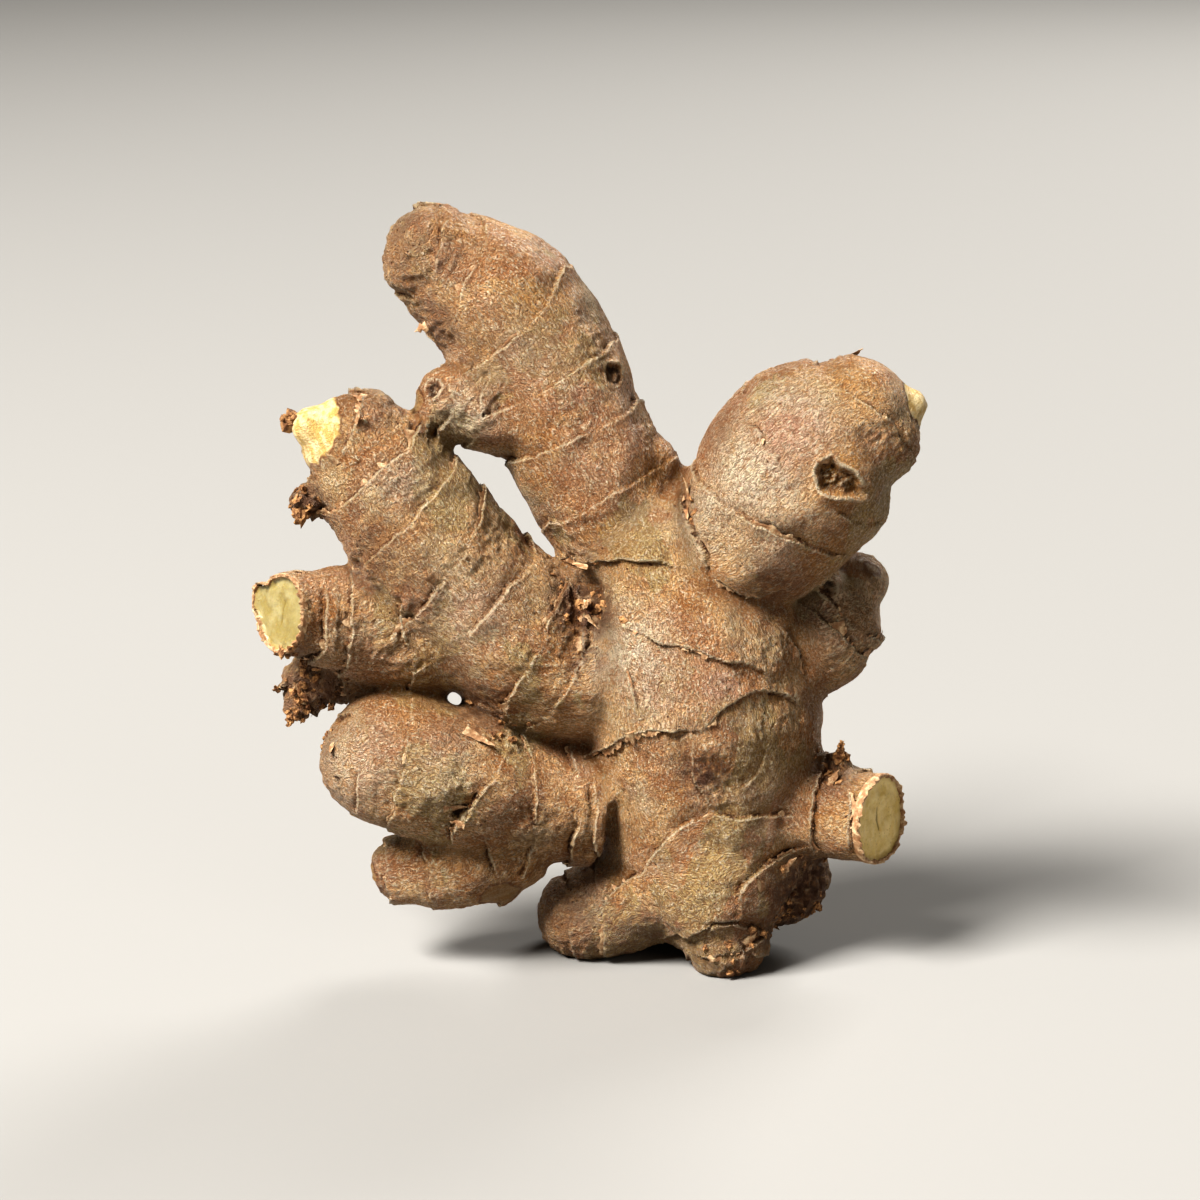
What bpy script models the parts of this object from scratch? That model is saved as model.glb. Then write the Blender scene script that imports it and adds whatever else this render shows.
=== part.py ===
"""Ginger root: one hand of fresh ginger, standing unheld on three of its own lobes.

A ginger root grows as one piece, so it is one closed solid. Each limb is a tube of changing
width, swept along a short curved path to a domed end. The limbs are grown together by a voxel
remesh, given the uneven lumps of a root, and then cut: flat where two fingers were broken from
the hand, and flat under the three lobes that it stands on.

Frame: +Z up, the hand's broad side faces -Y, origin on the floor under the middle of its box.
Paths and sizes are in millimetres, and MM turns them into Blender's metres.
"""

import math

import bpy
from mathutils import Vector

MM = 0.001

# A limb's path runs from inside the hand to its tip: x, y, z and half width at each point.
# "flat" is its depth along Y as a share of its width.
LIMBS = {
    "trunk": {
        "flat": 0.84,
        "path": [
            (24, 1, 12, 17.5),
            (23, 2, 22, 20.0),
            (21.5, 2, 36, 21.0),
            (20.5, 1, 50, 22.0),
            (18, 1, 64, 20.0),
            (13, 1, 76, 14.5),
        ],
    },
    "tall_finger": {
        "flat": 0.88,
        "path": [
            (10, 2, 74, 12.0),
            (3.5, 2, 86, 13.0),
            (-3, 3, 99, 13.8),
            (-8.5, 4, 111, 14.0),
            (-15.5, 4, 120.5, 13.4),
            (-23, 4, 126, 11.6),
            (-27.5, 3, 129.5, 9.4),
        ],
    },
    "tall_finger_knob": {
        "flat": 1.0,
        "path": [(-14, 1, 101, 8.0), (-21, -1, 103, 7.2), (-25, -2, 104, 6.2)],
    },
    "right_finger": {
        "flat": 0.86,
        "path": [
            (22, 1, 72, 12.0),
            (30, -3, 81, 15.0),
            (36.5, -6, 91, 17.6),
            (42.5, -8, 98, 16.4),
            (47.5, -8, 101.5, 12.4),
        ],
    },
    "left_finger": {
        "flat": 0.84,
        "path": [
            (4, 0, 54, 14.0),
            (-9, -1, 58, 14.8),
            (-20.5, -2, 68.5, 14.6),
            (-29.5, -3, 80.5, 13.8),
            (-36.5, -3, 91, 12.4),
            (-41, -3, 97.5, 9.8),
        ],
    },
    "side_finger": {
        "flat": 0.95,
        "path": [
            (-24, 0, 60, 11.0),
            (-36, -2, 62.5, 10.6),
            (-45, -5, 65, 9.4),
            (-51, -8, 66.5, 7.8),
            (-57, -13, 68, 6.6),
        ],
    },
    "rough_shoot": {
        "flat": 1.0,
        "path": [(-36, 2, 55, 6.8), (-44, 2, 54, 6.6), (-50, 2, 51, 5.6), (-52.5, 1, 47, 3.2)],
    },
    "low_finger": {
        "flat": 0.92,
        "path": [
            (2, -1, 28, 11.0),
            (-9, -3, 30, 11.4),
            (-19, -6, 33.5, 12.0),
            (-29.5, -8, 38, 12.8),
            (-37.5, -9, 40.5, 11.6),
        ],
    },
    "low_finger_lobe": {
        "flat": 0.95,
        "path": [(-10, -3, 23.5, 8.0), (-20, -4, 19.5, 8.8), (-28, -5, 18.5, 8.0), (-34, -5, 17.5, 6.2)],
    },
    "left_foot": {
        "flat": 1.25,
        "path": [(12, 1, 12, 10.0), (3, 1.5, 7.6, 8.8), (-2.5, 1.5, 6.8, 7.8)],
    },
    "front_foot": {
        "flat": 1.0,
        "path": [(23, -2, 16, 15.0), (24.5, -6, 9, 12.5), (25.5, -8.5, 4.6, 8.0)],
    },
    "back_foot": {
        "flat": 1.0,
        "path": [(26, 4, 24, 13.0), (26, 10.5, 14, 11.5), (25, 14.5, 6, 8.4)],
    },
    "side_lobe": {
        "flat": 1.0,
        "path": [(26, 4, 20, 13.0), (33, 4, 16, 11.4), (37, 4, 12.5, 8.5)],
    },
    "cut_stub": {
        "flat": 1.0,
        "path": [(30, 0, 28, 10.0), (41, -2, 28, 9.2), (49, -5, 28, 8.6), (56, -9, 28, 8.0)],
    },
    "right_knob": {
        "flat": 0.95,
        "path": [(30, 2, 54, 11.0), (41, 2, 59, 10.2), (45.5, 2, 63, 8.8)],
    },
    "back_knob": {
        "flat": 1.0,
        "path": [(18, 6, 47, 13.0), (13, 12, 54, 10.5), (10, 14.5, 60, 7.5)],
    },
}
# Small growths: centre x, y, z and radius.
BUDS = {
    "left_tip_bud": (-48.5, -5, 100, 3.8),
    "left_finger_nub": (-49.5, -3, 86, 3.2),
    "side_finger_bud": (-57.8, -4.2, 68.5, 2.7),
    "valley_nub": (18.5, 0, 89.5, 2.6),
    "tall_base_bump": (12.0, 1, 92.5, 4.8),
    "right_tip_bud": (57.0, -8, 104.5, 3.2),
    "lobe_bud": (-16, -4, 14.5, 4.4),
    "right_knob_top": (49.5, 3, 69.5, 5.2),
    "right_knob_eye": (43.5, -2, 70.5, 3.0),
    "root_stub": (45.5, -3, 37, 2.8),
}
# The two broken ends: a point on the break, and the way that the break faces.
BREAKS = {
    "side_finger_break": {"at": (-54.6, -10.0, 66.5), "facing": (-0.76, -0.63, 0.15)},
    "cut_stub_break": {"at": (53.4, -7.0, 28.5), "facing": (0.82, -0.57, 0.05)},
}
BREAK_BLOCK = 26.0  # side of the block that cuts a break
FLOOR_BLOCK = 200.0  # side of the block that cuts the feet flat at the floor

PATH_STEP = 1.5  # spacing of the rings along a limb
DOME_BULGE = 0.86  # how far a limb's end bulges past its path, as a share of its half width
DOME_RINGS = 6
LIMB_BEVEL = 5  # bevel resolution of a limb, which gives it 14 sides
BUD_SEGMENTS = 16
VOXEL = 0.8  # grain of the remesh that grows the limbs together
JOIN_PASSES = 9  # smoothing passes over the joins
LUMP_SPACING = 9.0  # spacing of the root's uneven lumps
LUMP_HEIGHT = 1.5  # from the deepest hollow to the highest lump
FACES_KEPT = 0.052  # share of the remeshed faces that the solid keeps

SKIN_COLOUR = (0.50, 0.33, 0.18, 1)
SKIN_ROUGHNESS = 0.7


def smooth_run(path, step):
    """Points about a step apart on a smooth curve through the path, each with its half width."""
    ends = [path[0], *path, path[-1]]
    points = []
    for before, start, stop, after in zip(ends, ends[1:], ends[2:], ends[3:]):
        count = max(2, round(math.dist(start[:3], stop[:3]) / step))
        for i in range(count):
            points.append(catmull_rom(before, start, stop, after, i / count))
    points.append(tuple(path[-1]))
    return points


def catmull_rom(before, start, stop, after, t):
    """The point a share t of the way from start to stop, on the curve that also heeds their neighbours."""
    return tuple(
        0.5 * (2 * b + (c - a) * t + (2 * a - 5 * b + 4 * c - d) * t**2 + (3 * b - a - 3 * c + d) * t**3)
        for a, b, c, d in zip(before, start, stop, after)
    )


def with_dome(points):
    """The points with a rounded end added past the last one."""
    tip = Vector(points[-1][:3])
    half_width = points[-1][3]
    along = (tip - Vector(points[-2][:3])).normalized()
    dome = []
    for i in range(1, DOME_RINGS + 1):
        turn = math.pi / 2 * i / DOME_RINGS
        place = tip + along * half_width * DOME_BULGE * math.sin(turn)
        dome.append((*place, max(0.05, half_width * math.cos(turn))))
    return points + dome


def add_limb(name, path, flat):
    """One limb: a curve with a bevel that changes width along it, squeezed along Y, as a closed mesh."""
    curve = bpy.data.curves.new(name, "CURVE")
    curve.dimensions = "3D"
    curve.bevel_depth = MM
    curve.bevel_resolution = LIMB_BEVEL
    curve.use_fill_caps = True
    points = with_dome(smooth_run(path, PATH_STEP))
    spline = curve.splines.new("POLY")
    spline.points.add(len(points) - 1)
    root_y = path[0][1]
    for point, (x, y, z, half_width) in zip(spline.points, points):
        point.co = (x * MM, (y - root_y) / flat * MM, z * MM, 1)
        point.radius = half_width
    limb = bpy.data.objects.new(name, curve)
    limb.location.y = root_y * MM
    limb.scale.y = flat
    bpy.context.scene.collection.objects.link(limb)
    return limb


def add_bud(name, x, y, z, radius):
    """One small round growth."""
    bpy.ops.mesh.primitive_uv_sphere_add(
        segments=BUD_SEGMENTS,
        ring_count=BUD_SEGMENTS // 2,
        radius=radius * MM,
        location=(x * MM, y * MM, z * MM),
    )
    bud = bpy.context.object
    bud.name = name
    return bud


def join_as_mesh(name, pieces):
    """The pieces as one mesh object, in which they still pass through each other."""
    bpy.ops.object.select_all(action="DESELECT")
    for piece in pieces:
        piece.select_set(True)
    bpy.context.view_layer.objects.active = pieces[0]
    bpy.ops.object.convert(target="MESH")
    bpy.ops.object.join()
    bpy.ops.object.transform_apply(location=True, rotation=True, scale=True)
    rhizome = bpy.context.object
    rhizome.name = name
    rhizome.data.name = name
    return rhizome


def grow_together(rhizome):
    """Modifiers that turn the crossing limbs into one lumpy skin with few enough faces."""
    remesh = rhizome.modifiers.new("grow_together", "REMESH")
    remesh.mode = "VOXEL"
    remesh.voxel_size = VOXEL * MM
    smooth = rhizome.modifiers.new("soften_joins", "SMOOTH")
    smooth.factor = 0.5
    smooth.iterations = JOIN_PASSES
    clouds = bpy.data.textures.new("lumps", "CLOUDS")
    clouds.noise_scale = LUMP_SPACING * MM
    clouds.noise_depth = 1
    lumps = rhizome.modifiers.new("lumps", "DISPLACE")
    lumps.texture = clouds
    lumps.strength = LUMP_HEIGHT * MM
    fewer = rhizome.modifiers.new("fewer_faces", "DECIMATE")
    fewer.ratio = FACES_KEPT


def add_block(name, side, at, facing):
    """A cutting block whose near face passes through a point, with the block on the side it faces."""
    bpy.ops.mesh.primitive_cube_add(size=side * MM)
    block = bpy.context.object
    outward = Vector(facing).normalized()
    block.location = (Vector(at) + outward * side / 2) * MM
    block.rotation_euler = outward.to_track_quat("Z", "Y").to_euler()
    block.name = name
    block.hide_render = True
    block.display_type = "WIRE"
    return block


def cut_with(rhizome, block):
    """Takes the block's volume off the root."""
    cut = rhizome.modifiers.new(block.name, "BOOLEAN")
    cut.operation = "DIFFERENCE"
    cut.solver = "EXACT"
    cut.object = block


def centre_on_floor(rhizome, blocks):
    """Moves the root, with its cutting blocks, so that the origin is under the middle of its box."""
    bpy.context.view_layer.update()
    evaluated = rhizome.evaluated_get(bpy.context.evaluated_depsgraph_get())
    corners = [evaluated.matrix_world @ Vector(corner) for corner in evaluated.bound_box]
    for axis in (0, 1):
        places = [corner[axis] for corner in corners]
        middle = (min(places) + max(places)) / 2
        for moved in (rhizome, *blocks):
            moved.location[axis] -= middle


def skin_material():
    """Dry, matt, tan skin."""
    material = bpy.data.materials.new("ginger_skin")
    material.use_nodes = True
    shader = material.node_tree.nodes["Principled BSDF"]
    shader.inputs["Base Color"].default_value = SKIN_COLOUR
    shader.inputs["Roughness"].default_value = SKIN_ROUGHNESS
    shader.inputs["Metallic"].default_value = 0.0
    return material


def put_in_collection(name, members):
    collection = bpy.data.collections.new(name)
    bpy.context.scene.collection.children.link(collection)
    for member in members:
        for old in list(member.users_collection):
            old.objects.unlink(member)
        collection.objects.link(member)


def main():
    for old in list(bpy.data.objects):
        bpy.data.objects.remove(old)

    pieces = [add_limb(name, limb["path"], limb["flat"]) for name, limb in LIMBS.items()]
    pieces += [add_bud(name, *bud) for name, bud in BUDS.items()]
    rhizome = join_as_mesh("ginger_rhizome", pieces)
    rhizome.data.materials.clear()
    rhizome.data.materials.append(skin_material())
    rhizome.data.shade_smooth()
    grow_together(rhizome)

    blocks = [add_block(name, BREAK_BLOCK, cut["at"], cut["facing"]) for name, cut in BREAKS.items()]
    blocks.append(add_block("floor_under_feet", FLOOR_BLOCK, (0, 0, 0), (0, 0, -1)))
    for block in blocks:
        cut_with(rhizome, block)
    centre_on_floor(rhizome, blocks)

    put_in_collection("ginger_root", [rhizome])
    put_in_collection("cutters", blocks)


main()
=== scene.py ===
"""A hand of fresh ginger root, standing on three of its own lobes: the finish of all its surfaces.

Places are in the frame of the CAD model, and the sizes of the root are written in millimetres.
"""

import math

import bmesh
import bpy
import numpy as np
from mathutils import Matrix, Vector, noise
from mathutils.bvhtree import BVHTree
from mathutils.kdtree import KDTree


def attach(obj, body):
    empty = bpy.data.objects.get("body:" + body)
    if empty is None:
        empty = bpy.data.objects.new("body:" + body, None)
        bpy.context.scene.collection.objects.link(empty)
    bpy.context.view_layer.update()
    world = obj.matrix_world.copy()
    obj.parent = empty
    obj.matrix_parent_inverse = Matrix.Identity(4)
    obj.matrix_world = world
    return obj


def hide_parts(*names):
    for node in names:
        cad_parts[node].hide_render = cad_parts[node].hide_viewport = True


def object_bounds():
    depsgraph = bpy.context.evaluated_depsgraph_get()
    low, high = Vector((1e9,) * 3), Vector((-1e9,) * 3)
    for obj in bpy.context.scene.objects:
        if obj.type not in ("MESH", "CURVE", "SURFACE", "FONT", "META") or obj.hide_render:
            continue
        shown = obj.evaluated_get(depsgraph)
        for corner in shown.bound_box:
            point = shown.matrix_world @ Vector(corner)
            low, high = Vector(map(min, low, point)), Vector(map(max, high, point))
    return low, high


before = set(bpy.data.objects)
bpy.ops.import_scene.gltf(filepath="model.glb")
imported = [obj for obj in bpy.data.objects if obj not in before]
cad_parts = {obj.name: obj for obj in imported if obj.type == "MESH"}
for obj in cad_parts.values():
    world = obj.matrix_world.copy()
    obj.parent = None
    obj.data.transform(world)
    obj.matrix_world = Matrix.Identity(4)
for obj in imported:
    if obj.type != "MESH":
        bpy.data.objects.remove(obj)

cad_low, cad_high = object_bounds()


# ---------------------------------------------------------------------------------------------
# The table, the light and the camera. The root stands on a plain pale surface, seen from slightly
# above, and is lit by a large soft lamp from the upper left and two weaker ones from the right,
# one in front and one behind.

TABLE_SIDE = 12.0
TABLE_COLOUR = (0.27, 0.265, 0.255, 1)
VIEW_RISE = math.radians(15)
VIEW_DISTANCE = 0.6
VIEW_TARGET = Vector((0.0024, 0.0, 0.0671))
LENS = 100

bpy.ops.mesh.primitive_plane_add(size=TABLE_SIDE)
table = bpy.context.object
table.name = "table_top"
table_paint = bpy.data.materials.new("pale_matt_table")
table_paint.use_nodes = True
table_shader = table_paint.node_tree.nodes["Principled BSDF"]
table_shader.inputs["Base Color"].default_value = TABLE_COLOUR
table_shader.inputs["Roughness"].default_value = 0.85
table.data.materials.append(table_paint)


def add_lamp(name, place, aim, size, power, colour):
    """A square soft lamp that shines from a place towards a point."""
    light = bpy.data.lights.new(name, "AREA")
    light.size = size
    light.energy = power
    light.color = colour
    lamp = bpy.data.objects.new(name, light)
    lamp.location = place
    lamp.rotation_euler = (Vector(aim) - Vector(place)).to_track_quat("-Z", "Y").to_euler()
    bpy.context.scene.collection.objects.link(lamp)


add_lamp("key_lamp", (-1.45, -1.00, 2.10), (0, 0, 0.06), 1.00, 176.0, (1.0, 0.975, 0.94))
add_lamp("fill_lamp", (1.6, -1.9, 1.0), (0, 0, 0.07), 1.40, 8.0, (1.0, 0.96, 0.90))
add_lamp("rim_lamp", (1.0, 1.7, 1.4), (0, 0, 0.08), 1.00, 36.0, (1.0, 0.98, 0.95))

world = bpy.data.worlds.new("pale_room")
world.use_nodes = True
world.node_tree.nodes["Background"].inputs["Color"].default_value = (0.88, 0.82, 0.74, 1)
world.node_tree.nodes["Background"].inputs["Strength"].default_value = 0.07
bpy.context.scene.world = world
bpy.context.scene.view_settings.view_transform = "Standard"
bpy.context.scene.view_settings.look = "High Contrast"

camera_data = bpy.data.cameras.new("camera")
camera_data.lens = LENS
camera = bpy.data.objects.new("camera", camera_data)
back_off = Vector((0, -math.cos(VIEW_RISE), math.sin(VIEW_RISE))) * VIEW_DISTANCE
camera.location = VIEW_TARGET + back_off
camera.rotation_euler = (-back_off).to_track_quat("-Z", "Y").to_euler()
bpy.context.scene.collection.objects.link(camera)
bpy.context.scene.camera = camera


# ---------------------------------------------------------------------------------------------
# The skin. A ginger root is one swollen stem that branched as it crept through the soil, and its
# skin is a thin, dry, papery layer of cork over pale flesh. It is shaped here in the order in
# which it grew: the limbs first, then the leaves' ring scars, the creases, and the stains.

MM = 0.001

# Each limb widened and bent along its own path, x, y, z and half width, and ended in a bud;
# "flat" is its depth along Y as a share of its width.
LIMBS = {
    "trunk": {
        "flat": 0.84,
        "path": [
            (24, 1, 12, 17.5),
            (23, 2, 22, 20.0),
            (21.5, 2, 36, 21.0),
            (20.5, 1, 50, 22.0),
            (18, 1, 64, 20.0),
            (13, 1, 76, 14.5),
        ],
    },
    "tall_finger": {
        "flat": 0.88,
        "path": [
            (10, 2, 74, 12.0),
            (3.5, 2, 86, 13.0),
            (-3, 3, 99, 13.8),
            (-8.5, 4, 111, 14.0),
            (-15.5, 4, 120.5, 13.4),
            (-23, 4, 126, 11.6),
            (-27.5, 3, 129.5, 9.4),
        ],
    },
    "tall_finger_knob": {
        "flat": 1.0,
        "path": [(-14, 1, 101, 8.0), (-21, -1, 103, 7.2), (-25, -2, 104, 6.2)],
    },
    "right_finger": {
        "flat": 0.86,
        "path": [
            (22, 1, 72, 12.0),
            (30, -3, 81, 15.0),
            (36.5, -6, 91, 17.6),
            (42.5, -8, 98, 16.4),
            (47.5, -8, 101.5, 12.4),
        ],
    },
    "left_finger": {
        "flat": 0.84,
        "path": [
            (4, 0, 54, 14.0),
            (-9, -1, 58, 14.8),
            (-20.5, -2, 68.5, 14.6),
            (-29.5, -3, 80.5, 13.8),
            (-36.5, -3, 91, 12.4),
            (-41, -3, 97.5, 9.8),
        ],
    },
    "side_finger": {
        "flat": 0.95,
        "path": [
            (-24, 0, 60, 11.0),
            (-36, -2, 62.5, 10.6),
            (-45, -5, 65, 9.4),
            (-51, -8, 66.5, 7.8),
            (-57, -13, 68, 6.6),
        ],
    },
    "rough_shoot": {
        "flat": 1.0,
        "path": [(-36, 2, 55, 6.8), (-44, 2, 54, 6.6), (-50, 2, 51, 5.6), (-52.5, 1, 47, 3.2)],
    },
    "low_finger": {
        "flat": 0.92,
        "path": [
            (2, -1, 28, 11.0),
            (-9, -3, 30, 11.4),
            (-19, -6, 33.5, 12.0),
            (-29.5, -8, 38, 12.8),
            (-37.5, -9, 40.5, 11.6),
        ],
    },
    "low_finger_lobe": {
        "flat": 0.95,
        "path": [(-10, -3, 23.5, 8.0), (-20, -4, 19.5, 8.8), (-28, -5, 18.5, 8.0), (-34, -5, 17.5, 6.2)],
    },
    "left_foot": {
        "flat": 1.25,
        "path": [(12, 1, 12, 10.0), (3, 1.5, 7.6, 8.8), (-2.5, 1.5, 6.8, 7.8)],
    },
    "front_foot": {
        "flat": 1.0,
        "path": [(23, -2, 16, 15.0), (24.5, -6, 9, 12.5), (25.5, -8.5, 4.6, 8.0)],
    },
    "back_foot": {
        "flat": 1.0,
        "path": [(26, 4, 24, 13.0), (26, 10.5, 14, 11.5), (25, 14.5, 6, 8.4)],
    },
    "side_lobe": {
        "flat": 1.0,
        "path": [(26, 4, 20, 13.0), (33, 4, 16, 11.4), (37, 4, 12.5, 8.5)],
    },
    "cut_stub": {
        "flat": 1.0,
        "path": [(30, 0, 28, 10.0), (41, -2, 28, 9.2), (49, -5, 28, 8.6), (56, -9, 28, 8.0)],
    },
    "right_knob": {
        "flat": 0.95,
        "path": [(30, 2, 54, 11.0), (41, 2, 59, 10.2), (45.5, 2, 63, 8.8)],
    },
    "back_knob": {
        "flat": 1.0,
        "path": [(18, 6, 47, 13.0), (13, 12, 54, 10.5), (10, 14.5, 60, 7.5)],
    },
}
# Small growths: centre x, y, z and radius.
BUDS = {
    "left_tip_bud": (-48.5, -5, 100, 3.8),
    "left_finger_nub": (-49.5, -3, 86, 3.2),
    "side_finger_bud": (-57.8, -4.2, 68.5, 2.7),
    "valley_nub": (18.5, 0, 89.5, 2.6),
    "tall_base_bump": (12.0, 1, 92.5, 4.8),
    "right_tip_bud": (57.0, -8, 104.5, 3.2),
    "lobe_bud": (-16, -4, 14.5, 4.4),
    "right_knob_top": (49.5, 3, 69.5, 5.2),
    "right_knob_eye": (43.5, -2, 70.5, 3.0),
    "root_stub": (45.5, -3, 37, 2.8),
}
# Where two fingers were broken off: a point on the break, and the way that it faces.
BREAKS = {
    "side_finger_break": {"at": (-54.6, -10.0, 66.5), "facing": (-0.76, -0.63, 0.15)},
    "cut_stub_break": {"at": (53.4, -7.0, 28.5), "facing": (0.82, -0.57, 0.05)},
}
BREAK_REACH = 16.0
DOME_BULGE = 0.86  # how far a limb's end bulges past its path, as a share of its half width
DOME_RINGS = 8
LIMB_SIDES = 32
PATH_STEP = 1.0
JOIN_GRAIN = 0.8  # grain of the remesh that grows the limbs together
JOIN_PASSES = 9
LUMP_SPACING = 9.0
LUMP_HEIGHT = 1.5


class Limb:
    """One limb as it grew: places along its middle, its width, and the directions around it."""

    def __init__(self, path, flat):
        run = np.array(self.smooth_run(path))
        tip_way = run[-1, :3] - run[-2, :3]
        tip_way /= np.linalg.norm(tip_way)
        turns = np.linspace(0, math.pi / 2, DOME_RINGS + 1)[1:]
        half_width = run[-1, 3]
        dome = run[-1, :3] + np.outer(half_width * DOME_BULGE * np.sin(turns), tip_way)
        widths = np.maximum(half_width * np.cos(turns), 0.05)
        self.middle = np.vstack([run[:, :3], dome])
        self.half = np.concatenate([run[:, 3], widths])
        self.flat = flat
        steps = np.linalg.norm(np.diff(self.middle, axis=0), axis=1)
        self.along = np.concatenate([[0], np.cumsum(steps)])
        self.way = np.gradient(self.middle, axis=0)
        self.way /= np.linalg.norm(self.way, axis=1, keepdims=True)
        self.side = np.cross((0, 1, 0), self.way)
        self.side /= np.linalg.norm(self.side, axis=1, keepdims=True)
        self.front = np.cross(self.side, self.way)

    def smooth_run(self, path):
        """Points a step apart on a smooth curve through the path, each with its half width."""
        ends = [path[0], *path, path[-1]]
        points = []
        for before, start, stop, after in zip(ends, ends[1:], ends[2:], ends[3:]):
            count = max(2, round(math.dist(start[:3], stop[:3]) / PATH_STEP))
            for i in range(count):
                t = i / count
                points.append(
                    [
                        0.5 * (2 * b + (c - a) * t + (2 * a - 5 * b + 4 * c - d) * t**2)
                        + 0.5 * (3 * b - a - 3 * c + d) * t**3
                        for a, b, c, d in zip(before, start, stop, after)
                    ]
                )
        points.append(path[-1])
        return points

    def squeeze(self, points):
        """Points in millimetres as they lie where the limb is round: Y is measured from its root."""
        squeezed = np.array(points, float)
        squeezed[..., 1] = (squeezed[..., 1] - self.middle[0, 1]) / self.flat + self.middle[0, 1]
        return squeezed

    def unsqueeze(self, points):
        real = np.array(points, float)
        real[..., 1] = (real[..., 1] - self.middle[0, 1]) * self.flat + self.middle[0, 1]
        return real

    def at(self, along, values):
        """Values listed along the limb, read at one or more distances along it."""
        return np.stack([np.interp(along, self.along, column) for column in values.T], axis=-1)


limbs = {}
for limb_name, shape in LIMBS.items():
    limb = Limb(shape["path"], shape["flat"])
    limb.middle = limb.squeeze(limb.middle)
    limbs[limb_name] = limb


def add_tube(body, limb):
    """Adds one limb to a mesh as rings of points around its middle, closed at both ends."""
    rings = []
    turns = np.arange(LIMB_SIDES) * 2 * math.pi / LIMB_SIDES
    for middle, half, side, front in zip(limb.middle, limb.half, limb.side, limb.front):
        ring = middle + half * (np.outer(np.cos(turns), side) + np.outer(np.sin(turns), front))
        rings.append([body.verts.new(point) for point in limb.unsqueeze(ring) * MM])
    for ring, following in zip(rings, rings[1:]):
        for i in range(LIMB_SIDES):
            after = (i + 1) % LIMB_SIDES
            body.faces.new((ring[i], following[i], following[after], ring[after]))
    body.faces.new(rings[0])
    body.faces.new(reversed(rings[-1]))


body = bmesh.new()
for limb in limbs.values():
    add_tube(body, limb)
for x, y, z, radius in BUDS.values():
    bmesh.ops.create_uvsphere(
        body,
        u_segments=16,
        v_segments=8,
        radius=radius * MM,
        matrix=Matrix.Translation((x * MM, y * MM, z * MM)),
    )
bmesh.ops.recalc_face_normals(body, faces=body.faces)
rough_mesh = bpy.data.meshes.new("limbs")
body.to_mesh(rough_mesh)
body.free()
rough_body = bpy.data.objects.new("limbs", rough_mesh)
bpy.context.scene.collection.objects.link(rough_body)

remesh = rough_body.modifiers.new("grow_together", "REMESH")
remesh.mode = "VOXEL"
remesh.voxel_size = JOIN_GRAIN * MM
soften = rough_body.modifiers.new("soften_joins", "SMOOTH")
soften.iterations = JOIN_PASSES
clouds = bpy.data.textures.new("lumps", "CLOUDS")
clouds.noise_scale = LUMP_SPACING * MM
clouds.noise_depth = 1
lumps = rough_body.modifiers.new("lumps", "DISPLACE")
lumps.texture = clouds
lumps.strength = LUMP_HEIGHT * MM
finer = rough_body.modifiers.new("finer", "SUBSURF")
finer.levels = 1
finer.render_levels = 1

grown = rough_body.evaluated_get(bpy.context.evaluated_depsgraph_get()).to_mesh()
points = np.empty(len(grown.vertices) * 3)
grown.vertices.foreach_get("co", points)
points = points.reshape(-1, 3) / MM
quads = np.empty(len(grown.polygons) * 4, int)
grown.polygons.foreach_get("vertices", quads)
quads = quads.reshape(-1, 4)
bpy.data.objects.remove(rough_body)

# Broken ends are flat: whatever grew past the break is pressed back onto it.
broken = {}
for break_name, cut in BREAKS.items():
    facing = np.array(cut["facing"]) / np.linalg.norm(cut["facing"])
    past = (points - cut["at"]) @ facing
    near = np.linalg.norm(points - cut["at"], axis=1) < BREAK_REACH
    beyond = near & (past > 0)
    points[beyond] -= np.outer(past[beyond], facing)
    broken[break_name] = beyond
points[:, 2] = np.maximum(points[:, 2], 0)


# Direction of growth. Skin fibres run along each limb, so every point of the skin knows where it
# lies along and around its limb, and blends from limb to limb where two meet.
BLEND_WIDTH = 1.1


def limb_places(limb, points):
    """Each point's place straightened out, across, outward and along, and its depth off the limb's skin."""
    squeezed = limb.squeeze(points)
    count = len(squeezed)
    nearest = np.empty(count, int)
    for first in range(0, count, 20000):
        chunk = squeezed[first : first + 20000]
        gaps = (chunk**2).sum(1)[:, None] - 2 * chunk @ limb.middle.T + (limb.middle**2).sum(1)
        nearest[first : first + 20000] = gaps.argmin(1)
    offset = squeezed - limb.middle[nearest]
    onward = (offset * limb.way[nearest]).sum(1)
    along = limb.along[nearest] + onward
    across = (offset * limb.side[nearest]).sum(1)
    outward = (offset * limb.front[nearest]).sum(1)
    half = np.interp(along, limb.along, limb.half)
    depth = np.hypot(across, outward) - half
    return np.column_stack([across, outward, along]), np.abs(depth)


grain = np.zeros((len(points), 3))
total = np.zeros(len(points))
most = np.zeros(len(points))
for limb in limbs.values():
    low = limb.unsqueeze(limb.middle).min(0) - limb.half.max() - 4
    high = limb.unsqueeze(limb.middle).max(0) + limb.half.max() + 4
    near = np.flatnonzero(np.all((points > low) & (points < high), axis=1))
    places, depth = limb_places(limb, points[near])
    share = np.exp(-depth / BLEND_WIDTH) + 1e-9
    grain[near] += places * share[:, None]
    total[near] += share
    most[near] = np.maximum(most[near], share)
total = np.maximum(total, 1e-9)
grain /= total[:, None]
# 1 where a place belongs to two limbs alike, and 0 where it lies on one of them.
between = np.clip((0.95 - most / total) / 0.30, 0, 1)


def corner_normals(points, quads):
    """The outward direction at every point of the skin."""
    across = points[quads[:, 2]] - points[quads[:, 0]]
    along = points[quads[:, 3]] - points[quads[:, 1]]
    face = np.cross(across, along)
    out = np.zeros_like(points)
    for corner in range(4):
        for axis in range(3):
            out[:, axis] += np.bincount(quads[:, corner], face[:, axis], len(points))
    return out / np.maximum(np.linalg.norm(out, axis=1, keepdims=True), 1e-12)


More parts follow.
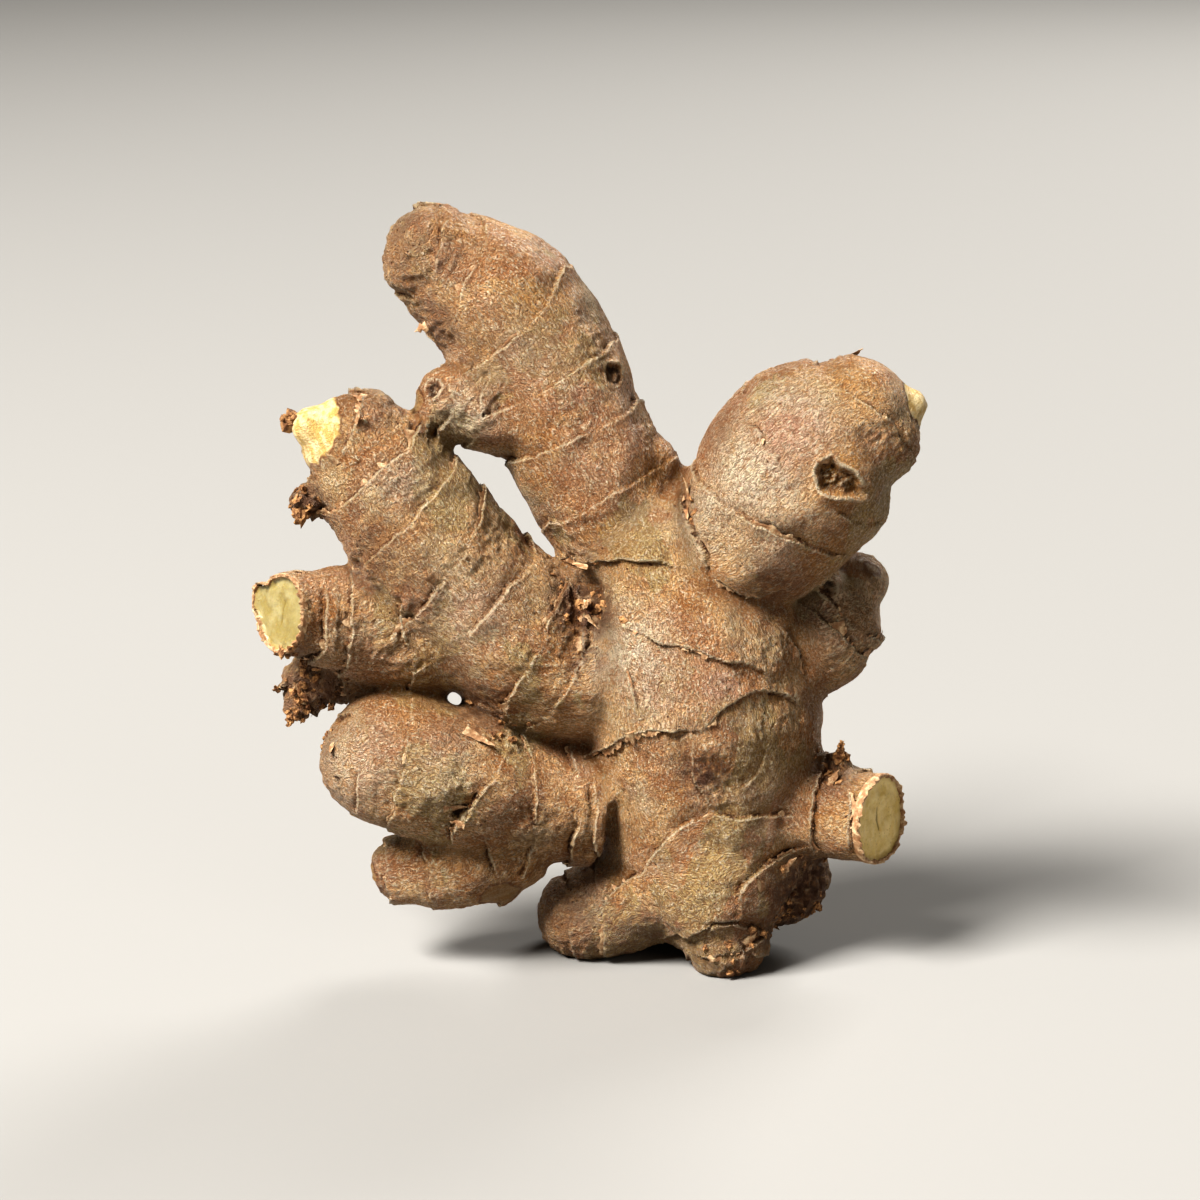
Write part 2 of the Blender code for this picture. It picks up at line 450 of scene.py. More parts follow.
def noise_at(places, spacing, shift=0.0):
    """Smooth noise from -1 to 1 at each place, with lumps about a spacing apart."""
    scaled = places / spacing + shift
    return np.array([noise.noise(place) for place in scaled.tolist()])


normals = corner_normals(points, quads)
skin_tree = BVHTree.FromPolygons(points.tolist(), quads.tolist())


# Ring scars. Each papery scale leaf of the young stem sat on a ring around it, and left a raised
# pale edge with a shallow step behind it: its place along the limb, lean from side to side, bow to
# the front, and strength.
RINGS = {
    "tall_finger": [
        (14, 0.7, 1.0, 0.7),
        (26.2, 0, 0.7, 1.0),
        (37, 1.4, 0, 1.0),
        (49, 1.5, -0.5, 0.7),
        (63, 2.6, -2.5, 1.0),
        (70.5, 2.0, -1.5, 0.9),
    ],
    "tall_finger_knob": [(6.5, 0, 0.5, 0.7), (12.5, 0.8, 0, 0.9)],
    "right_finger": [(19, 1.5, 1.9, 1.1), (31.5, 0.3, -0.4, 1.0), (42.5, 3.0, 1.5, 0.7)],
    "left_finger": [
        (8, -3.7, 0, 0.8),
        (15.6, 2.8, 0.7, 0.9),
        (28.8, 0, -0.9, 1.1),
        (40, 4.7, -2.3, 1.1),
        (49.3, 2.6, -1.1, 0.7),
        (58.6, 1.6, -0.3, 1.0),
        (67.5, 4.0, -0.9, 1.2),
    ],
    "side_finger": [(12.5, 4.5, -2.5, 1.1), (20.6, 1.6, 1.5, 1.3), (28.5, 1.2, -1.0, 1.2)],
    "rough_shoot": [(8, 0, 0, 1.0), (13, 1, 0, 1.2), (18, -1, 0, 1.2)],
    "low_finger": [
        (6.1, 1.5, -0.6, 1.0),
        (15.7, 3.7, -0.8, 1.0),
        (24.6, -1.6, 0.8, 1.2),
        (38, 1.5, 1.0, 0.5),
        (47.4, 2.8, -1.4, 0.9),
    ],
    "low_finger_lobe": [(7.6, -2.4, 0.4, 1.1), (20, -0.6, 0, 0.9), (27, 0, 0, 0.8)],
    "left_foot": [(9, -2, 1, 1.0), (16, 0.5, 0.5, 1.0)],
    "front_foot": [(9, 1, 2, 0.9), (15.5, -1, 1, 0.9)],
    "back_foot": [(8, 1, 0, 0.9), (16, 0, 0, 0.9)],
    "side_lobe": [(13, 1.0, 0.5, 1.2)],
    "cut_stub": [(14.0, 0.4, -0.6, 1.2), (21.5, 1.4, 0.3, 1.0), (26.5, 0, 0, 1.0)],
    "right_knob": [(9, 1, 0, 0.9), (16, 0, 1, 0.9), (20.5, 0.5, 0, 0.9)],
    "back_knob": [(10, 0, 1, 1.0), (17, 1, 0, 0.9)],
}
# On the trunk, scars of old branches run in open seams: the way that the loose edge lies,
# strength, and points x, z.
FRONT_SEAMS = [
    ((0.3, -1), 1.3, [(-1, 39), (2, 40.5), (6.5, 45), (10, 46.7), (14, 47.4), (20.5, 47.8)]),
    (
        (-0.6, 1),
        1.1,
        [(2, 10.5), (5.4, 15.3), (9.6, 18.4), (11.4, 21.6), (14.3, 26.8), (18, 29.6), (22, 31.6)],
    ),
    ((0.1, 1), 1.0, [(22, 31.6), (24.5, 31), (28, 30.7), (31.7, 30.6), (36, 30.1), (39.5, 30.2)]),
    ((-1, -0.3), 0.6, [(31.8, 43.5), (30.3, 39), (27.2, 36)]),
    ((-1, 0.4), 1.2, [(39.7, 23.6), (33.6, 21.6), (30.5, 20.1), (27.5, 17.6), (27.7, 13.2)]),
    ((0.1, 1), 1.0, [(19.8, 10.5), (24.5, 11.5), (28.8, 10.1), (32, 7.8), (29.5, 6.2), (26, 3.6)]),
    ((-1, 0), 1.0, [(1, 36.5), (1.6, 31), (1.3, 25.3), (3, 15)]),
    (
        (0.1, -1),
        1.2,
        [(-5, 73.7), (-3.6, 75.6), (0.6, 75.6), (5.3, 76.8), (9.7, 77), (13.6, 76.6), (17, 75.8)],
    ),
    ((1, 0.3), 1.5, [(18, 89), (17.1, 87), (17.7, 84), (19.1, 82), (20, 79.9), (21, 78), (21.5, 75.2)]),
    ((0.5, -1), 1.1, [(21.5, 75.2), (24.7, 73.2), (27.4, 71.2), (31.8, 71.2), (35.4, 73.2)]),
    (
        (0.1, -1),
        0.9,
        [(4.8, 65.5), (9.5, 64.7), (13.7, 63.3), (19, 62.3), (23.5, 60.5), (28.7, 59.3), (32.6, 56.7)],
    ),
    ((0.1, -1), 1.0, [(20.5, 47.8), (23, 50.5), (25.5, 52.5), (28, 53.6), (31, 54.3), (35, 53), (38.4, 50)]),
    ((-1, 0.1), 0.7, [(18.2, 47.5), (18.6, 43.5), (18.7, 40), (20, 36.5), (22.5, 33)]),
    ((1, -0.2), 0.6, [(7, 60), (7.6, 56), (8.8, 52), (8.6, 48)]),
    ((-1, -0.2), 1.6, [(-4.2, 73), (-2.4, 70), (-0.8, 67.7), (-1, 65), (-0.8, 60.5), (-1.4, 57)]),
]
# Open seams on the hidden back of the trunk.
BACK_SEAMS = [
    ((0.2, 1), 1.0, [(0, 44), (8, 40), (16, 39), (25, 41), (34, 45)]),
    ((-0.2, 1), 1.0, [(4, 66), (10, 70), (17, 71), (25, 69)]),
    ((0.1, -1), 0.9, [(8, 26), (16, 30), (26, 30), (36, 27)]),
    ((1, 0.4), 0.9, [(27, 50), (29, 57), (28, 64)]),
]
SCAR_STEP = 0.4
MM_PER_WAVE = 3.2  # length of the scars' small waves
FRONT_START = 60.0


class Scar:
    """One scar on the skin: points along it, the way its loose edge lies, the way out, its strength."""

    def __init__(self, points, towards, outward, strength):
        self.points = np.array(points)
        self.towards = np.array(towards)
        self.outward = np.array(outward)
        self.strength = np.array(strength)


def hit_skin(start, way, reach):
    """Where a straight line from a point first meets the skin, and the way out there."""
    place, outward, _, distance = skin_tree.ray_cast(Vector(start), Vector(way), reach)
    return place, outward, distance


def split_scar(rows):
    """Scars from rows of point, way, outward and strength, parted where a row is missing."""
    found = []
    current = []
    for row in [*rows, None]:
        if row is not None:
            current.append(row)
        elif current:
            if len(current) > 6:
                found.append(Scar(*zip(*current)))
            current = []
    return found


def ring_scars(limb, place, lean, bow, strength, seed):
    """The scar of one ring, wherever the limb's own skin is open to the air."""
    middle, half = limb.at(place, limb.middle), np.interp(place, limb.along, limb.half)
    count = max(24, int(2 * math.pi * half / SCAR_STEP))
    rows = []
    for k in range(count + 1):
        turn = 2 * math.pi * k / count
        ripple = noise.noise((math.cos(turn) * half / MM_PER_WAVE, math.sin(turn) * half / MM_PER_WAVE, seed))
        slow = noise.noise((math.cos(turn), math.sin(turn), seed + 50))
        here = place + lean * math.cos(turn) + bow * math.sin(turn) + 0.8 * ripple + 1.7 * slow
        here = min(max(here, 0.5), limb.along[-1] - 0.8)
        core = limb.at(here, limb.middle)
        reach = np.interp(here, limb.along, limb.half)
        way = math.cos(turn) * limb.at(here, limb.side) + math.sin(turn) * limb.at(here, limb.front)
        start = limb.unsqueeze(core)
        rim = limb.unsqueeze(core + way * reach)
        ray = rim - start
        expected = np.linalg.norm(ray)
        hit, outward, distance = hit_skin(start, ray / expected, expected * 1.8)
        if hit is None or abs(distance - expected) > 0.22 * expected + 0.6:
            rows.append(None)
            continue
        fade = 0.65 + 0.6 * ripple + 1.2 * slow
        rows.append((hit, limb.at(here, limb.way), outward, strength * min(max(fade, 0.08), 1.5)))
    return split_scar(rows)


def seam_scars(corners, lies, strength, side, seed):
    """The scar of an open seam through corners x, z, seen from the front (side -1) or the back (side 1)."""
    path = [(x, 0, z, 1) for x, z in corners]
    run = np.array(limbs["trunk"].smooth_run(path))[:, (0, 2)]
    lengths = np.concatenate([[0], np.cumsum(np.linalg.norm(np.diff(run, axis=0), axis=1))])
    stations = np.arange(0, lengths[-1], SCAR_STEP)
    rows = []
    for station in stations:
        x = np.interp(station, lengths, run[:, 0])
        z = np.interp(station, lengths, run[:, 1])
        ripple = noise.noise((station / MM_PER_WAVE, seed, 7.0))
        x += 0.5 * ripple * lies[0]
        z += 0.5 * ripple * lies[1]
        hit, outward, _ = hit_skin((x, side * FRONT_START, z), (0, -side, 0), 2 * FRONT_START)
        if hit is None or outward.y * side < 0.25:
            rows.append(None)
            continue
        fade = min(1.0, 4 * station / lengths[-1] + 0.2, 4 * (1 - station / lengths[-1]) + 0.2)
        rows.append((hit, (lies[0], 0, lies[1]), outward, strength * fade * (0.8 + 0.5 * ripple)))
    scars = split_scar(rows)
    for scar in scars:
        run_way = np.gradient(scar.points, axis=0)
        cross = np.cross(run_way, scar.outward)
        cross *= np.sign((cross * scar.towards).sum(1))[:, None]
        scar.towards = cross
    return scars


scars = []
for limb_name, rings in RINGS.items():
    for number, (place, lean, bow, strength) in enumerate(rings):
        scars += ring_scars(limbs[limb_name], place, lean, bow, strength, len(scars) + 3.7 * number)
for seams, side in ((FRONT_SEAMS, -1), (BACK_SEAMS, 1)):
    for lies, strength, corners in seams:
        scars += seam_scars(corners, lies, strength, side, len(scars) + 0.3)
for scar in scars:
    lift = (scar.towards * scar.outward).sum(1)[:, None] * scar.outward
    scar.towards = scar.towards - lift
    scar.towards /= np.maximum(np.linalg.norm(scar.towards, axis=1, keepdims=True), 1e-9)

SLEEVE_SWELL = 0.34  # how far the skin stands out before a ring, and sinks behind it
SLEEVE_LENGTH = 3.5
LIP_HEIGHT = 0.15
LIP_LENGTH = 0.5
STEP_DEPTH = 0.40
STEP_LENGTH = 1.4
SCAR_REACH = 11.0

scar_points = np.vstack([scar.points for scar in scars])
scar_towards = np.vstack([scar.towards for scar in scars])
scar_strength = np.concatenate([scar.strength for scar in scars])
scar_tree = KDTree(len(scar_points))
for index, place in enumerate(scar_points.tolist()):
    scar_tree.insert(place, index)
scar_tree.balance()
nearest = np.array([scar_tree.find(place)[1:] for place in points.tolist()])
nearest_scar = nearest[:, 0].astype(int)
scar_distance = nearest[:, 1]
past_scar = ((points - scar_points[nearest_scar]) * scar_towards[nearest_scar]).sum(1)
squareness = np.clip(np.abs(past_scar) / np.maximum(scar_distance, 1e-6), 0.2, 1)
fade = np.clip(1 - scar_distance / SCAR_REACH, 0, 1) * squareness
power = scar_strength[nearest_scar] * np.where(scar_distance < 0.5, 1, fade)
before = np.minimum(past_scar, 0)
after = np.maximum(past_scar, 0)
sleeve = np.where(past_scar < 0, np.exp(before / SLEEVE_LENGTH), -np.exp(-after / SLEEVE_LENGTH))
lip = np.where(past_scar < 0.1, np.exp(before / LIP_LENGTH), 0)
step = np.where(past_scar >= 0.1, np.exp(-after / STEP_LENGTH), 0)
scar_height = power * (SLEEVE_SWELL * sleeve + LIP_HEIGHT * lip - STEP_DEPTH * step)

# Between two scars the nearest one changes, so the scars' own marks fade out there.
scar_number = np.concatenate([np.full(len(scar.points), n) for n, scar in enumerate(scars)])
owner = scar_number[nearest_scar]
links = np.vstack([quads[:, (0, 1)], quads[:, (1, 2)], quads[:, (2, 3)], quads[:, (3, 0)]])
link_count = np.maximum(np.bincount(links[:, 0], minlength=len(points)), 1)


def relaxed(values, passes):
    """Values on the skin averaged with their neighbours, a number of times over."""
    flat = values.ndim == 1
    values = values[:, None] if flat else values
    for _ in range(passes):
        summed = np.column_stack(
            [np.bincount(links[:, 0], column[links[:, 1]], len(points)) for column in values.T]
        )
        values = 0.5 * values + 0.5 * summed / link_count[:, None]
    return values[:, 0] if flat else values


changes = np.zeros(len(points))
changes[links[owner[links[:, 0]] != owner[links[:, 1]]].ravel()] = 1
for _ in range(2):
    changes[links[changes[links[:, 0]] > 0, 1]] = 1
scar_power = np.clip(power, 0, 1.5) * (1 - np.clip(2.2 * relaxed(changes, 3), 0, 1))
scar_gap = np.clip(past_scar, -4, 4)


# Skin relief: fine creases that run along the limbs, small dimples, coarse bark where shoots
# were rubbed off, round eyes left by side buds, and one torn pit on the right finger. A spot is
# its centre, radius and strength.
ROUGH_SPOTS = [
    (-50, -2, 50, 7.5, 1.0),
    (-50, -4, 85.5, 5.0, 1.0),
    (38, 0, 10, 10.0, 1.0),
    (-3, -5, 8, 7.0, 0.6),
    (26, -14, 5, 7.0, 0.45),
    (13, -10, 8, 6.0, 0.4),
    (-1.5, -7, 67, 5.0, 1.0),
    (-2, -7, 74, 4.0, 0.6),
    (44.5, -5, 37, 4.5, 0.8),
    (-31, 1, 131, 9.0, 0.7),
    (-27, -4, 118, 5.0, 0.6),
    (-48, -11, 40, 6.0, 0.7),
    (-38, -8, 80, 7.0, 0.5),
    (-30, -12, 72, 6.0, 0.35),
    (20, -8, 86, 4.5, 0.6),
    (24, -10, 99, 5.0, 0.5),
    (-52, -13, 60, 5.0, 0.8),
    (-38, -5, 104, 5.0, 0.5),
    (-38, -6, 17, 5.0, 0.7),
    (40, -3, 112, 8.0, 0.5),
    (10, 20, 62, 6.0, 0.6),
    (25, 16, 6, 8.0, 0.6),
]
# Eyes: centre on the skin and radius.
EYES = [
    (8.0, -6.5, 110.8, 2.0),
    (-26.7, -6.5, 107.0, 1.7),
    (43.3, -5.1, 70.6, 1.7),
    (-22.5, -17.8, 32.4, 1.6),
    (-43.0, -15.0, 38.5, 0.9),
    (22, 18, 72, 2.0),
    (-30, 9, 76, 1.8),
    (-8, 15, 112, 1.8),
]
TORN_PIT = (43.6, -21.0, 94.6)
CREASE_HEIGHT = 0.32
DIMPLE_HEIGHT = 0.22
RING_CREASE_HEIGHT = 0.16
LUMP_RISE = 0.16
BROAD_RISE = 0.30
BARK_HEIGHT = 0.95
SMOOTHEST = 0.25  # share of the creases left on the smoothest stretches of skin

finger_shape = grain * (1, 1, 0.4)
crease = np.abs(noise_at(finger_shape, 1.5)) + 0.6 * np.abs(noise_at(finger_shape, 0.8, 9.1))
net_crease = np.abs(noise_at(points * (1, 1, 0.6), 1.6, 2.4)) + 0.6 * np.abs(noise_at(points, 0.9, 5.1))
crease += (net_crease - crease) * between
ring_crease = noise_at(grain * (0.3, 0.3, 1), 1.0, 6.6) * (1 - between)
dimple = noise_at(points, 0.9, 4.2)
broad = noise_at(points, 4.5, 2.2)
lumpy = noise_at(points, 2.3, 17.4)
rough = np.zeros(len(points))
for x, y, z, radius, amount in ROUGH_SPOTS:
    gap = np.linalg.norm(points - (x, y, z), axis=1) / radius
    rough = np.maximum(rough, amount * np.clip(1.6 - gap, 0, 1))
bark = np.abs(noise_at(points, 2.6, 5.5)) + 0.5 * noise_at(points, 1.1, 1.5)
wrinkled = np.clip(0.55 + 1.5 * noise_at(points, 13.0, 23.0), SMOOTHEST, 1)
relief = wrinkled * (CREASE_HEIGHT * (0.45 - crease) + DIMPLE_HEIGHT * dimple)
relief += wrinkled * (RING_CREASE_HEIGHT * ring_crease + LUMP_RISE * lumpy) + BROAD_RISE * broad
relief += BARK_HEIGHT * rough * (bark - 0.2)

eye_dark = np.zeros(len(points))
for number, (x, y, z, radius) in enumerate(EYES):
    x, y, z = skin_tree.find_nearest((x, y, z))[0]
    gap = np.linalg.norm(points - (x, y, z), axis=1)
    nub_gap = np.linalg.norm(points - (x + 0.3 * radius, y, z - 0.25 * radius), axis=1)
    wobble = gap + 0.35 * dimple + 0.5 * lumpy
    open_side = 0.55 + 0.45 * np.sin(number + (points[:, 2] - z) / radius + 0.6 * (points[:, 0] - x) / radius)
    relief += 0.75 * open_side * np.exp(-(((wobble - radius) / 0.42) ** 2))
    relief -= 0.8 * np.clip(1.15 - wobble / radius, 0, 1) ** 0.5
    relief += 0.7 * np.exp(-((nub_gap / (0.45 * radius)) ** 2))
    off_nub = 1 - 0.8 * np.exp(-((nub_gap / (0.4 * radius)) ** 2))
    inside = np.clip((0.95 - wobble / radius) * 4, 0, 1) * off_nub
    eye_dark = np.maximum(eye_dark, inside)
gap = points - TORN_PIT
slant = gap[:, 0] + 0.45 * gap[:, 2]
pit_reach = np.hypot(slant, 1.25 * gap[:, 2] + 0.35 * np.abs(slant)) + 1.4 * broad + 0.8 * lumpy
in_front = np.abs(gap[:, 1]) < 8
pit = np.clip((4.0 - pit_reach) / 0.9, 0, 1) * in_front
relief -= 1.5 * pit * (1 + 0.6 * dimple)
relief += 0.55 * np.exp(-(((pit_reach - 4.5) / 0.6) ** 2)) * in_front
eye_dark = np.maximum(eye_dark, 0.45 * pit * np.clip(0.7 + 1.4 * lumpy, 0, 1))

# Young buds are smooth, because no cork has formed on them yet.
YOUNG_SPOTS = [
    (-49.5, -7, 101, 6.8, 1.0),
    (57.0, -8, 104.5, 4.2, 1.0),
    (-16, -8, 14.5, 4.0, 0.45),
    (-39, -6, 16.5, 3.0, 0.45),
    (-31, -4.5, 104.8, 2.6, 0.45),
    (20.5, -4, 97, 1.5, 0.9),
    (52, -2, 75, 3.5, 0.45),
]
young = np.zeros(len(points))
for x, y, z, radius, amount in YOUNG_SPOTS:
    gap = np.linalg.norm(points - (x, y, z), axis=1) / radius + 0.18 * noise_at(points, 1.6, 3.3)
    young = np.maximum(young, amount * np.clip((1.15 - gap) * 4, 0, 1))
relief *= 1 - 0.75 * young

on_break = np.zeros(len(points), bool)
for beyond in broken.values():
    on_break |= beyond
height = scar_height + relief
height[on_break] = 0
points = points + normals * height[:, None]


# The finished skin, kept inside the CAD model's box. Its hollows collect soil and shadow.
normals = corner_normals(points, quads)
near_form = relaxed(points, 3)
wide_form = relaxed(near_form, 40)
fine_hollow = ((near_form - points) * normals).sum(1)
wide_hollow = ((wide_form - points) * normals).sum(1)

low = np.array(cad_low) / MM
high = np.array(cad_high) / MM
points = np.clip(points, low + 0.02, high - 0.02)
points[:, 2] = np.maximum(points[:, 2], 0)


def make_piece(name, faces, points):
    """A mesh object from some of the root's faces, with only the points that they use."""
    used = np.unique(faces)
    renumber = np.full(len(points), -1)
    renumber[used] = np.arange(len(used))
    mesh = bpy.data.meshes.new(name)
    mesh.from_pydata((points[used] * MM).tolist(), [], renumber[faces].tolist())
    mesh.shade_smooth()
    piece = bpy.data.objects.new(name, mesh)
    bpy.context.scene.collection.objects.link(piece)
    return piece, used


def keep_values(piece, used, **named):
    """Stores values of the root's points on a piece for its material to read."""
    for name, values in named.items():
        kind = "FLOAT_VECTOR" if values.ndim == 2 else "FLOAT"
        stored = piece.data.attributes.new(name, kind, "POINT")
        field = "vector" if values.ndim == 2 else "value"
        stored.data.foreach_set(field, values[used].astype(np.float32).ravel())


# Stains and worn places, among them painted shade and painted highlight: centre, radius and strength of each.
STAINS_AND_LIGHT_SPOTS = {}
# Soil spots. The broad faint ones low on the front of the foot are also painted shade, where the base curves
# under.
STAINS_AND_LIGHT_SPOTS["soil"] = [
    (20.5, -18, 38.5, 4.5, 1.0),
    (16.5, -18, 43.0, 3.5, 0.5),
    (-1.0, -9, 68.0, 5.5, 0.9),
    (-1.0, -12, 60.0, 3.5, 0.7),
    (38.5, -4, 15.0, 9.0, 0.9),
    (36.0, -10, 9.0, 6.0, 0.6),
    (26.0, -12, 2.5, 5.0, 0.4),
    (-16.0, -8, 27.0, 5.0, 0.5),
    (-22.0, -5, 51.0, 9.0, 0.6),
    (-49.0, -8, 84.0, 5.0, 0.9),
    (-50.0, -2, 50.0, 5.0, 0.5),
    (33.0, -13, 72.0, 6.0, 0.5),
    (-27.0, -5, 118.0, 4.0, 0.4),
    (20.5, -6, 88.0, 3.5, 0.8),
    (-1.5, -6, 21.0, 6.0, 0.5),
    (20, 18, 45, 9.0, 0.6),
    (-20, 10, 90, 6.0, 0.5),
    (25.0, -12, 9.0, 13.0, 0.2),
    (6.0, -10, 6.0, 8.0, 0.4),
    (-12.0, -9, 24.0, 9.0, 0.35),
    (47.0, -2, 60.0, 7.0, 0.2),
    (-36.0, -10, 78.0, 6.0, 0.4),
]
# Paler skin. The spots on the front of the trunk, on the right finger and on the right knob are also painted
# highlight where the key lamp's light falls.
STAINS_AND_LIGHT_SPOTS["pale"] = [
    (7.0, -16, 62.0, 8.0, 0.9),
    (9.0, -18, 55.0, 6.0, 0.7),
    (7.5, -17, 33.0, 4.5, 0.8),
    (8.5, -17, 26.0, 4.0, 0.7),
    (29.0, -20, 95.0, 9.0, 0.95),
    (35.0, -20, 104.0, 8.0, 0.9),
    (22.0, -15, 86.0, 7.0, 0.8),
    (-24.0, -12, 126.0, 5.0, 0.5),
    (-21.0, -8, 103.0, 5.0, 0.6),
    (-33.0, -14, 92.0, 5.0, 0.5),
    (-41.0, -16, 42.0, 7.0, 0.6),
    (-50.0, -8, 60.0, 4.0, 0.4),
    (0.0, -8, 12.0, 4.0, 0.5),
    (29.0, -17, 84.0, 7.0, 0.6),
    (-20.0, -14, 70.0, 8.0, 0.4),
    (-25.0, -17, 42.0, 6.0, 0.3),
    (48.0, -6, 67.0, 8.0, 0.6),
    (-14.0, -14, 96.0, 6.0, 0.4),
    (-12.0, -14, 118.0, 7.0, 0.35),
    (18, 18, 58, 9.0, 0.5),
    (-14, 12, 116, 8.0, 0.5),
    (-32, 8, 84, 8.0, 0.4),
    (30, 6, 100, 8.0, 0.5),
]
STAINS_AND_LIGHT_SPOTS["green"] = [
    (31.0, -16, 47.0, 8.5, 0.9),
    (36.0, -12, 40.0, 7.0, 0.9),
    (29.0, -17, 38.0, 6.0, 0.6),
    (24.0, -19, 22.0, 9.0, 0.5),
    (-11.0, -14, 60.0, 6.0, 0.5),
    (-9.0, -14, 66.0, 5.0, 0.5),
    (8.0, -12, 83.0, 6.0, 0.4),
    (-27.0, -18, 38.0, 6.0, 0.4),
]
STAINS_AND_LIGHT_SPOTS["rosy"] = [
    (35.5, -20, 101.0, 6.5, 1.0),
    (19.0, -19, 55.0, 10.0, 0.6),
    (-7.0, -12, 112.0, 6.5, 0.7),
    (-1.5, -12, 119.0, 6.0, 0.6),
    (4.5, -13, 97.0, 8.0, 0.6),
    (-40.0, -14, 60.0, 6.0, 0.5),
    (27, -21, 89.0, 6.0, 0.4),
    (-26, -10, 131, 5.0, 0.3),
]
STAINS_AND_LIGHT_SPOTS["ochre"] = [
    (-4.5, -8, 62.0, 5.0, 0.9),
    (3.0, -9, 80.0, 5.0, 0.5),
    (44.0, -10, 79.0, 6.5, 0.8),
    (12.5, -5, 93.0, 4.5, 0.8),
    (-9.5, -7, 122.0, 4.5, 0.7),
    (-2.5, -4, 126.0, 4.5, 0.6),
    (-30.0, -6, 54.0, 9.0, 0.6),
    (-14.0, -12, 20.0, 5.0, 0.6),
    (-21.0, -2, 136.0, 3.5, 0.9),
    (-35.5, -3, 131.0, 3.5, 0.9),
    (49.0, -8, 38.0, 4.0, 0.7),
    (39.0, -14, 37.0, 4.5, 0.5),
    (50.0, -7, 65.0, 5.0, 0.5),
    (45.0, -9, 109.0, 8.0, 0.5),
    (-9.0, -8, 98.0, 4.0, 0.5),
    (-34.5, -15, 99.0, 5.0, 0.4),
    (43.6, -20, 94.6, 5.5, 1.0),
    (-34.5, -5, 130.5, 4.5, 0.8),
    (26.0, -18, 82.0, 6.0, 0.4),
]


def stained(spots):
    """How strongly each point of the skin is marked by soft-edged spots: stains, painted shade and painted
    highlight.
    """
    amount = np.zeros(len(points))
    for x, y, z, radius, strength in spots:
        gap = np.linalg.norm(points - (x, y, z), axis=1) / radius
        amount = np.maximum(amount, strength * np.clip(1.5 - gap, 0, 1))
    return amount


skin_faces = quads[~np.all(on_break[quads], axis=1)]
skin, skin_used = make_piece("ginger_skin", skin_faces, points)
keep_values(
    skin,
    skin_used,
    grain=grain,
    between=between,
    scar_power=scar_power,
    scar_gap=scar_gap,
    eye_dark=eye_dark,
    fine_hollow=fine_hollow,
    wide_hollow=wide_hollow,
    young=young,
    rough=rough,
    **{name: stained(spots) for name, spots in STAINS_AND_LIGHT_SPOTS.items()},
)


def tone(red, green, blue):
    """A colour as seen, each part from 0 to 255, in the shader's linear scale."""
    return (*(((c / 255 + 0.055) / 1.055) ** 2.4 for c in (red, green, blue)), 1)


def feed(tree, socket, source):
    """Links an output to a socket, or sets the socket to a plain value."""
    if isinstance(source, bpy.types.NodeSocket):
        tree.links.new(source, socket)
    else:
        socket.default_value = source


def add_math(tree, operation, first, second=0.0, third=0.0):
    node = tree.nodes.new("ShaderNodeMath")
    node.operation = operation
    for socket, source in zip(node.inputs, (first, second, third)):
        feed(tree, socket, source)
    return node.outputs[0]


def add_stretch(tree, place, factors):
    """Places with each part multiplied, which stretches the patterns drawn on them."""
    node = tree.nodes.new("ShaderNodeVectorMath")
    node.operation = "MULTIPLY"
    feed(tree, node.inputs[0], place)
    node.inputs[1].default_value = factors
    return node.outputs[0]


def add_noise(tree, place, per_mm, detail=3.0, roughness=0.5):
    node = tree.nodes.new("ShaderNodeTexNoise")
    feed(tree, node.inputs["Vector"], place)
    node.inputs["Scale"].default_value = per_mm
    node.inputs["Detail"].default_value = detail
    node.inputs["Roughness"].default_value = roughness
    return node.outputs[0]


def add_cells(tree, place, per_mm, feature):
    node = tree.nodes.new("ShaderNodeTexVoronoi")
    node.feature = feature
    feed(tree, node.inputs["Vector"], place)
    node.inputs["Scale"].default_value = per_mm
    return node.outputs["Distance"]


def add_range(tree, value, low, high, to_low=0.0, to_high=1.0):
    """A value moved smoothly from one range to another, and held at its ends."""
    node = tree.nodes.new("ShaderNodeMapRange")
    node.interpolation_type = "SMOOTHSTEP"
    feed(tree, node.inputs["Value"], value)
    for name, number in (("From Min", low), ("From Max", high), ("To Min", to_low), ("To Max", to_high)):
        node.inputs[name].default_value = number
    return node.outputs[0]


def add_mix(tree, mask, first, second):
    node = tree.nodes.new("ShaderNodeMix")
    node.data_type = "RGBA"
    feed(tree, node.inputs["Factor"], mask)
    feed(tree, node.inputs[6], first)
    feed(tree, node.inputs[7], second)
    return node.outputs[2]


def add_attribute(tree, name):
    node = tree.nodes.new("ShaderNodeAttribute")
    node.attribute_name = name
    return node


def add_place_mm(tree):
    """The place on the piece, in millimetres."""
    place = tree.nodes.new("ShaderNodeTexCoord")
    scale = tree.nodes.new("ShaderNodeVectorMath")
    scale.operation = "SCALE"
    scale.inputs["Scale"].default_value = 1 / MM
    tree.links.new(place.outputs["Object"], scale.inputs[0])
    return scale.outputs[0]


def add_bump(tree, height, distance):
    node = tree.nodes.new("ShaderNodeBump")
    node.inputs["Distance"].default_value = distance
    feed(tree, node.inputs["Height"], height)
    return node.outputs[0]


def start_paint(name):
    paint = bpy.data.materials.new(name)
    paint.use_nodes = True
    return paint, paint.node_tree, paint.node_tree.nodes["Principled BSDF"]


